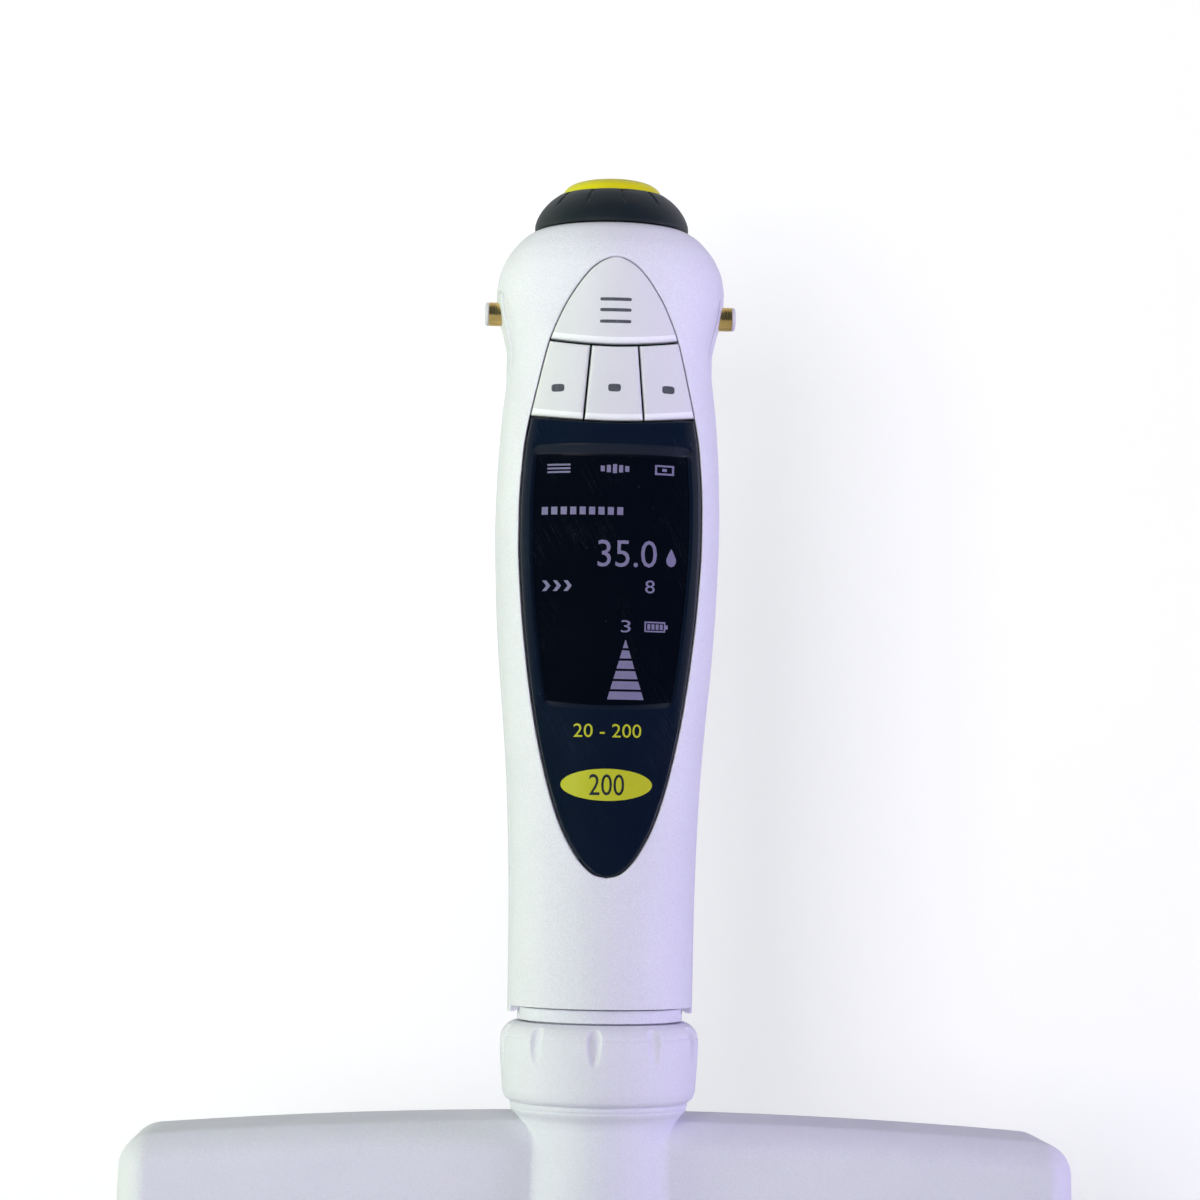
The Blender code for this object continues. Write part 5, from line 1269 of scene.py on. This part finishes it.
def cone_form():
    """Tip cone with its cylinder, turned; the two grooves near the tip hold the sealing rings."""
    profile = softened([(2.6, -131.4), (2.6, -147.2), (3.6, -147.2), (3.6, -149.0), (2.6, -149.0),
                        (2.6, -164.0), (2.28, -168.0), (2.05, -168.1), (2.02, -169.1), (2.2, -169.2), (2.08, -171.0),
                        (1.85, -171.1), (1.82, -172.1), (2.0, -172.2), (1.8, -176.0), (0.6, -176.0),
                        (0.6, -158.0), (1.56, -158.0), (1.56, -131.4)],
                       [0.2, 0.2, 0.2, 0.2, 0.2, 0.8, 0.03, 0.03, 0.03, 0.03, 0.03, 0.03, 0.03, 0.03, 0.3, 0.15,
                        0.1, 0.1, 0.2], 4)
    return surface(turned(spread(profile, 2.0), 48), around=True, ends=True)


def seal_form(radius, z):
    """Sealing ring: a round cord turned about the axis."""
    angle = 2 * math.pi * np.arange(12) / 12
    return ring_of(np.stack((radius + 0.42 * np.cos(angle), z + 0.42 * np.sin(angle)), -1), 48)


def spring_form():
    """Return spring: a round wire wound about the axis, closed by a flat face at each end.

    The wire's middle goes round at the spring's radius R and climbs evenly: (R cos t, R sin t,
    foot + rise t / whole turn). Its section is spanned by the outward and the upward direction.
    """
    whole = 2 * math.pi * SPRING_TURNS
    turn = np.linspace(0, whole, 181)[:, None]
    angle = 2 * math.pi * np.arange(10) / 10
    radius = SPRING_RADIUS + SPRING_WIRE * np.cos(angle)
    height = SPRING_FOOT + SPRING_RISE * turn / whole + SPRING_WIRE * np.sin(angle)
    grid = points(radius * np.cos(turn), radius * np.sin(turn), height)
    place, quads = surface(grid, around=True)
    index = numbered(grid)
    return place, quads.tolist() + [index[0].tolist(), index[-1].tolist()]


# Operators


class PieceOperator:
    """What every operator of the panel shares."""

    bl_options = {"REGISTER"}


class PIPETTE_OT_finishes(PieceOperator, bpy.types.Operator):
    """Builds every finish and gives the inner works theirs"""

    bl_idname = "pipette.finishes"
    bl_label = "Finishes and inner works"

    def execute(self, context):
        build_finishes(context.scene.pipette_colours)
        inner = {
            "encoder_block": "sensor", "display_module": "panel", "circuit_board": "board",
            "battery_pack": "battery", "drive_motor": "motor", "motor_bracket": "sensor", "lead_screw": "steel",
            "push_rod": "aluminium", "piston_bar": "aluminium", "guide_plate": "plate", "cone_plate": "plate",
        }
        inner.update({"piston_%02d" % k: "steel" for k in range(1, CHANNELS + 1)})
        for name, wanted in inner.items():
            for place in bpy.data.objects[name].material_slots:
                place.material = finish[wanted]
        return {"FINISHED"}


class PIPETTE_OT_casing(PieceOperator, bpy.types.Operator):
    """Makes the front and rear shell of the handle and the battery cover"""

    bl_idname = "pipette.casing"
    bl_label = "Handle casing"

    def execute(self, context):
        rim = context.scene.pipette_sizes.rim_round / MM
        make("front_shell", [front_casing(rim)], [finish["shell"]], "handle", ["front_casing"])
        make("rear_shell", [rear_casing()], [finish["shell"]], "handle", ["rear_casing"])
        make("cover_plate", [battery_cover()], [finish["shell"]], "cover", ["battery_cover"])
        return {"FINISHED"}


class PIPETTE_OT_window(PieceOperator, bpy.types.Operator):
    """Makes the window pane, the display's picture and the printed volume field"""

    bl_idname = "pipette.window"
    bl_label = "Window and display"

    def execute(self, context):
        make("window_pane", [window_pane()], [finish["window"], finish["screen"]], "handle", ["display_window"],
             30.0)
        lit = [numbers("35.0", -1.7, 5.6, -31.2, 3.3), numbers("8", 4.2, 5.4, -35.2, 1.6),
               numbers("3", 1.3, 2.5, -40.1, 1.5)]
        lit += [bar(-8.0, -5.2, -20.35 - 0.45 * k, 0.22) for k in range(3)]
        lit += [bar(-1.5 + 0.75 * k, -1.0 + 0.75 * k, -20.8, 1.1 - 0.2 * abs(k - 2)) for k in range(5)]
        lit += [bar(5.2, 7.6, -20.3, 0.22), bar(5.2, 7.6, -21.3, 0.22), bar(5.2, 5.45, -20.8, 0.8),
                bar(7.35, 7.6, -20.8, 0.8), bar(6.1, 6.7, -20.8, 0.35)]
        lit += [bar(-8.6 + 1.15 * k, -7.85 + 1.15 * k, -26.0, 0.95) for k in range(9)]
        for left in (-8.4 + 1.3 * np.arange(3)):
            lit += [bar(left, left + 0.5, -34.9, 0.65, left + 0.5, left + 1.0),
                    bar(left + 0.5, left + 1.0, -35.55, 0.65, left, left + 0.5)]
        lit += [bar(4.2, 6.8, -39.55, 0.18), bar(4.2, 6.8, -40.65, 0.18), bar(4.2, 4.38, -40.1, 0.92),
                bar(6.62, 6.8, -40.1, 0.92), bar(6.8, 7.1, -40.1, 0.5)]
        lit += [bar(4.55 + 0.52 * k, 4.92 + 0.52 * k, -40.1, 0.66) for k in range(4)]
        lit += [lens(7.4, -31.9, 0.62, 0.75, 2.0), bar(7.35, 7.45, -30.9, 0.8, 6.95, 7.85)]
        lit += tip_picture((1.9, -41.8), -0.3, 4.3, -49.35)
        make("display_picture", printed(lit, SCREEN_DEPTH, PRINT_LIFT), [finish["picture"]], "handle", ())
        make("volume_range", printed([numbers("20 - 200", -4.3, 4.0, -52.9, 1.65)], 0.0, 0.014),
             [finish["yellow ink"]], "handle", ())
        make("volume_field", printed([lens(-0.15, -59.5, 5.6, 1.95, 2.0, 81)], 0.0, PRINT_LIFT),
             [finish["yellow ink"]], "handle", ())
        make("volume_number", printed([numbers("200", -2.3, 2.0, -59.5, 2.6)], 0.0, 0.028),
             [finish["dark ink"]], "handle", ())
        return {"FINISHED"}


class PIPETTE_OT_keys(PieceOperator, bpy.types.Operator):
    """Makes the large button and the three soft keys with their marks"""

    bl_idname = "pipette.keys"
    bl_label = "Buttons and keys"

    def execute(self, context):
        edge = context.scene.pipette_sizes.key_round / MM
        gap = KEY_GAP / 2
        make("large_button", [key_plate(APEX - gap, 0.0, BUTTON_FOOT, BUTTON_BEND, None, None, edge),
                              pin_of((0, BUTTON_PIN_Z), BUTTON_PIN_STOP, 1.5)],
             [finish["key"], finish["key edge"]], "operating_key", ["operating_button"])
        lines = [lens(0, z, 1.92, 0.2, 8.0) for z in (-0.05, -1.35, -2.75)]
        make("button_bars", printed(lines, -KEY_PROUD, PRINT_LIFT), [finish["grey ink"]], "operating_key", ())
        top = BUTTON_FOOT - KEY_ROW_GAP
        sides = {
            "left": (None, key_split(-1, gap), -6.9), "middle": (key_split(-1, -gap), key_split(1, -gap), 0.0),
            "right": (key_split(1, gap), None, 6.7),
        }
        for label, (left, right, mark) in sides.items():
            make(label + "_key", [key_plate(top, BUTTON_BEND, KEY_FOOT, KEY_BEND, left, right, edge),
                                  pin_of((mark, KEY_PIN_Z), KEY_PIN_STOP, 1.2)],
                 [finish["key"], finish["key edge"]], label + "_key", ["soft_key_" + label])
            make(label + "_mark", printed([lens(mark, -10.9, 0.78, 0.48, 4.0)], -KEY_PROUD, PRINT_LIFT),
                 [finish["grey ink"]], label + "_key", ())
        return {"FINISHED"}


class PIPETTE_OT_head(PieceOperator, bpy.types.Operator):
    """Makes the adjustment wheel and the yellow push button in it"""

    bl_idname = "pipette.head"
    bl_label = "Wheel and push button"

    def execute(self, context):
        make("wheel", [wheel_form()], [finish["wheel"]], "wheel", ["adjustment_wheel"], 50.0)
        make("push_dome", [dome_form()], [finish["yellow"]], "eject_key", ["ejector_button"])
        return {"FINISHED"}


class PIPETTE_OT_contacts(PieceOperator, bpy.types.Operator):
    """Makes the charging contact on each side and its pale end"""

    bl_idname = "pipette.contacts"
    bl_label = "Charging contacts"

    def execute(self, context):
        for side, label in ((-1, "left"), (1, "right")):
            band = [(0, 8.0), (1.5, 8.0), (1.5, 15.42), (0, 15.42)]
            end = [(0, 15.45), (1.5, 15.45), (1.5, 15.7), (1.25, 15.9), (0, 15.9)]
            make("contact_band_" + label, [contact_form(side, band)], [finish["gold"]], "handle",
                 ["contact_" + label])
            make("contact_end_" + label, [contact_form(side, end)], [finish["cap"]], "handle",
                 ["contact_cap_" + label])
        return {"FINISHED"}


class PIPETTE_OT_hook(PieceOperator, bpy.types.Operator):
    """Makes the finger hook with its curved foot"""

    bl_idname = "pipette.hook"
    bl_label = "Finger hook"

    def execute(self, context):
        tongue = box_of((-3.5, 11.2, 3.25), (3.5, 15.4, 5.95), 0.25)
        make("hook", [hook_form(), sector_form((14.8, 16.6), (0.6, 7.2), math.radians(20), 0.5), tongue,
                      sector_form((11.0, 11.7), (2.5, 5.95), math.radians(26), 0.15)],
             [finish["shell"]], "hook", ["finger_hook"])
        return {"FINISHED"}


class PIPETTE_OT_collar(PieceOperator, bpy.types.Operator):
    """Makes the ring at the handle's foot and the collar nut"""

    bl_idname = "pipette.collar"
    bl_label = "Foot ring and collar nut"

    def execute(self, context):
        ring = softened([(9.2, -82.5), (9.2, -87.0), (10.3, -87.0), (10.3, -88.6), (9.0, -88.6), (9.0, -94.0),
                         (7.0, -94.0), (7.0, -97.0), (2.85, -97.0), (2.85, -82.5)], 0.15, 4)
        make("foot_ring", [ring_of(spread(ring, 2.0), 180)], [finish["shell"]], "handle", ["base_ring"])
        make("nut", [nut_form(context.scene.pipette_sizes.parting_line / MM)], [finish["case"]], "nut",
             ["collar_nut"], 55.0)
        return {"FINISHED"}


class PIPETTE_OT_manifold(PieceOperator, bpy.types.Operator):
    """Makes the manifold case with its neck and column, and the rear cover"""

    bl_idname = "pipette.manifold"
    bl_label = "Manifold case"

    def execute(self, context):
        neck = softened([(7.2, -94.3), (10.2, -94.3), (10.2, -97.4), (9.4, -97.4), (9.4, -98.68),
                         (10.9, -98.68), (11.1, -98.95), (11.0, -99.35), (7.2, -99.35)],
                        [0.1, 0.15, 0.15, 0.1, 0.1, 0.1, 0.1, 0.12, 0.1], 5)
        make("case", [*case_form(), ring_of(spread(neck, 1.0), 240), column_form(), column_blend()],
             [finish["case"]], "manifold", ["manifold_housing"], 30.0)
        make("case_lid", lid_form(), [finish["case"]], "manifold", ["manifold_rear_cover"],
             30.0)
        return {"FINISHED"}


class PIPETTE_OT_channels(PieceOperator, bpy.types.Operator):
    """Makes the twelve tip cones with sealing rings, the ejector strip and its rods"""

    bl_idname = "pipette.channels"
    bl_label = "Tip cones and ejector"

    def execute(self, context):
        cone, upper, lower = cone_form(), seal_form(1.92, -168.6), seal_form(1.7, -171.6)
        for k in range(CHANNELS):
            offset = (channel_x(k), ROW_Y, 0)
            name = "cone_%02d" % (k + 1)
            pieces = [moved(cone, offset), (*moved(upper, offset), 1), (*moved(lower, offset), 1)]
            make("channel_" + name, pieces, [finish["cone"], finish["rubber"]], name, ["tip_" + name])
        make("ejector_strip", ejector_form(), [finish["case"]], "ejector", ["ejector_bar"])
        for side, label in ((-1, "left"), (1, "right")):
            low, high = (corner[2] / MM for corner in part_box("ejector_rod_" + label))
            centre = (side * ROD_X, ROW_Y, 0)
            profile = softened([(0, high), (2.0, high), (2.0, high - 1.6), (1.2, high - 1.6), (1.2, low),
                                (0, low)], 0.15, 3, False)
            make("rod_" + label, [moved(knob_of(profile, 48), centre)], [finish["steel"]], "ejector",
                 ["ejector_rod_" + label])
            spring = make("spring_" + label, [moved(spring_form(), centre)], [finish["spring"]], "manifold",
                          ["ejector_spring_" + label])
            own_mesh(spring)
        return {"FINISHED"}


class PIPETTE_OT_studio(PieceOperator, bpy.types.Operator):
    """Sets up the pale backdrop, the soft lamps and the camera"""

    bl_idname = "pipette.studio"
    bl_label = "Studio"

    def execute(self, context):
        scene = context.scene
        backdrop(scene.pipette_sizes.backdrop_gap / MM)
        white_world(scene)
        middle = (0, 0, -60)
        lamp("front_lamp", (-280, -640, -30), middle, (300, 420), 2.55, (0.94, 0.93, 1.0))
        lamp("left_lamp", (-700, -120, -60), middle, (260, 460), 3.3, (0.81, 1.0, 0.62))
        lamp("right_lamp", (700, -150, -60), middle, (260, 460), 4.45, (0.73, 0.66, 1.0))
        lamp("head_lamp", (-20, -150, 95), (0, -10, 5), (90, 90), 0.085, (1.0, 1.0, 1.0))
        camera(scene)
        scene.view_settings.view_transform = "Standard"
        return {"FINISHED"}


def joined(tree, kind, *links):
    """Output of a new node whose sockets take the given outputs in turn."""
    made = tree.nodes.new(kind)
    for link, socket in zip(links, made.inputs):
        tree.links.new(link, socket)
    return made.outputs[0]


def backdrop(gap):
    """Floor that bends up into a wall behind the pipette; it is lit from behind for the camera alone.

    Seen from its rear it is clear, so that the pipette can be looked at from all sides.
    """
    floor, back, bend = -176.4, gap, 60.0
    angle = np.linspace(0, math.pi / 2, 25)
    arc = np.stack((back - bend + bend * np.sin(angle), floor + bend - bend * np.cos(angle)), -1)
    profile = np.concatenate(([(-900.0, floor)], arc, [(back, 900.0)]))
    x = np.linspace(-1500, 1500, 13)
    place, quads = surface(points(x[None], profile[:, :1], profile[:, 1:]))
    mesh = bpy.data.meshes.new("backdrop")
    mesh.from_pydata(place * MM, [], quads[:, ::-1].tolist())
    mesh.polygons.foreach_set("use_smooth", np.ones(len(mesh.polygons), bool))
    made, tree, shader, where = new_finish("Studio paper", Roughness=0.9)
    tone = placed(tree, "Uneven tone", Place=where, Colour=(0.66, 0.66, 0.65), Amount=0.004)
    tree.links.new(tone.outputs["Colour"], shader.inputs["Base Color"])
    ray = add(tree, "ShaderNodeLightPath").outputs["Is Camera Ray"]
    glow = add(tree, "ShaderNodeEmission", Color=(1.0, 1.0, 1.0), Strength=0.45)
    lit = joined(tree, "ShaderNodeAddShader", shader.outputs[0], glow.outputs[0])
    seen = joined(tree, "ShaderNodeMixShader", ray, shader.outputs[0], lit)
    behind = add(tree, "ShaderNodeNewGeometry").outputs["Backfacing"]
    clear = tree.nodes.new("ShaderNodeBsdfTransparent").outputs[0]
    tree.links.new(joined(tree, "ShaderNodeMixShader", behind, seen, clear),
                   tree.nodes["Material Output"].inputs["Surface"])
    mesh.materials.append(made)
    piece = bpy.data.objects.new("backdrop", mesh)
    bpy.context.scene.collection.objects.link(piece)


def white_world(scene):
    """White sky for the camera and for reflections, a weaker even fill for everything else."""
    world = bpy.data.worlds.new("Studio sky")
    scene.world = world
    world.use_nodes = True
    tree = world.node_tree
    sky = tree.nodes["Background"]
    rays = add(tree, "ShaderNodeLightPath")
    way = add(tree, "ShaderNodeSeparateXYZ", Vector=add(tree, "ShaderNodeTexCoord").outputs["Generated"])
    height = between(tree, way.outputs["Z"], -0.3, 0.5)
    fill = blend(tree, height, (0.34, 0.34, 0.36), (0.015, 0.015, 0.02))
    ahead = between(tree, way.outputs["Y"], -0.35, 0.3)
    gloss = blend(tree, ahead, (0.065, 0.08, 0.125), (0.8, 0.8, 0.8))
    mirror = blend(tree, rays.outputs["Is Glossy Ray"], fill, gloss)
    level = blend(tree, rays.outputs["Is Camera Ray"], mirror, (1.0, 1.0, 1.0))
    tree.links.new(level, sky.inputs["Color"])


def lamp(name, place, target, size, power, colour):
    """Large soft lamp that looks at a point; places and sizes in millimetres, power in watts."""
    data = bpy.data.lights.new(name, "AREA")
    data.shape = "RECTANGLE"
    data.size, data.size_y = (side * MM for side in size)
    data.energy = power
    data.color = colour
    made = bpy.data.objects.new(name, data)
    made.visible_glossy = False
    made.visible_camera = False
    place, target = np.array(place, float), np.array(target, float)
    made.location = place * MM
    back = (place - target) / np.linalg.norm(place - target)
    right = np.cross((0, 0, 1), back)
    right /= np.linalg.norm(right)
    frame_of(made, right, np.cross(back, right), back)
    bpy.context.scene.collection.objects.link(made)


def frame_of(made, right, up, back):
    """Turns an object so that its own axes lie along the three given ones."""
    place = made.location.copy()
    matrix = made.matrix_basis.copy()
    for column, axis in enumerate((right, up, back)):
        for row in range(3):
            matrix[row][column] = axis[row]
    made.matrix_basis = matrix
    made.location = place


def camera(scene):
    """Camera in front of the keys, a little left, looking slightly up, with the photo's small roll."""
    data = bpy.data.cameras.new("camera")
    data.lens, data.sensor_width, data.clip_start, data.clip_end = 95.4, 36.0, 0.01, 20.0
    made = bpy.data.objects.new("camera", data)
    made.location = (-0.0196, -0.3998, -0.0651)
    yaw, pitch, roll = np.radians((2.70, 4.15, 0.89))
    ahead = np.array((math.sin(yaw) * math.cos(pitch), math.cos(yaw) * math.cos(pitch), math.sin(pitch)))
    right = np.array((math.cos(yaw), -math.sin(yaw), 0.0))
    up = np.cross(right, ahead)
    frame_of(made, math.cos(roll) * right + math.sin(roll) * up,
             -math.sin(roll) * right + math.cos(roll) * up, -ahead)
    scene.collection.objects.link(made)
    scene.camera = made


class PIPETTE_PT_panel(bpy.types.Panel):
    """Sidebar panel with the sizes, the colours and one button for each group of pieces"""

    bl_label = "Pipette"
    bl_idname = "PIPETTE_PT_panel"
    bl_space_type = "VIEW_3D"
    bl_region_type = "UI"
    bl_category = "Pipette"

    def draw(self, context):
        for settings in (context.scene.pipette_sizes, context.scene.pipette_colours):
            column = self.layout.column(align=True)
            for key in type(settings).__annotations__:
                column.prop(settings, key)
        column = self.layout.column(align=True)
        for step in STEPS:
            column.operator(step.bl_idname)


STEPS = (PIPETTE_OT_finishes, PIPETTE_OT_casing, PIPETTE_OT_window, PIPETTE_OT_keys, PIPETTE_OT_head,
         PIPETTE_OT_contacts, PIPETTE_OT_hook, PIPETTE_OT_collar, PIPETTE_OT_manifold, PIPETTE_OT_channels,
         PIPETTE_OT_studio)
CLASSES = (PipetteSizes, PipetteColours, *STEPS, PIPETTE_PT_panel)


def register():
    for each in CLASSES:
        bpy.utils.register_class(each)
    bpy.types.Scene.pipette_sizes = bpy.props.PointerProperty(type=PipetteSizes)
    bpy.types.Scene.pipette_colours = bpy.props.PointerProperty(type=PipetteColours)


def unregister():
    del bpy.types.Scene.pipette_colours
    del bpy.types.Scene.pipette_sizes
    for each in reversed(CLASSES):
        bpy.utils.unregister_class(each)


def main():
    register()
    bpy.ops.pipette.finishes()
    bpy.ops.pipette.casing()
    bpy.ops.pipette.window()
    bpy.ops.pipette.keys()
    bpy.ops.pipette.head()
    bpy.ops.pipette.contacts()
    bpy.ops.pipette.hook()
    bpy.ops.pipette.collar()
    bpy.ops.pipette.manifold()
    bpy.ops.pipette.channels()
    bpy.ops.pipette.studio()


if __name__ == "__main__":
    main()
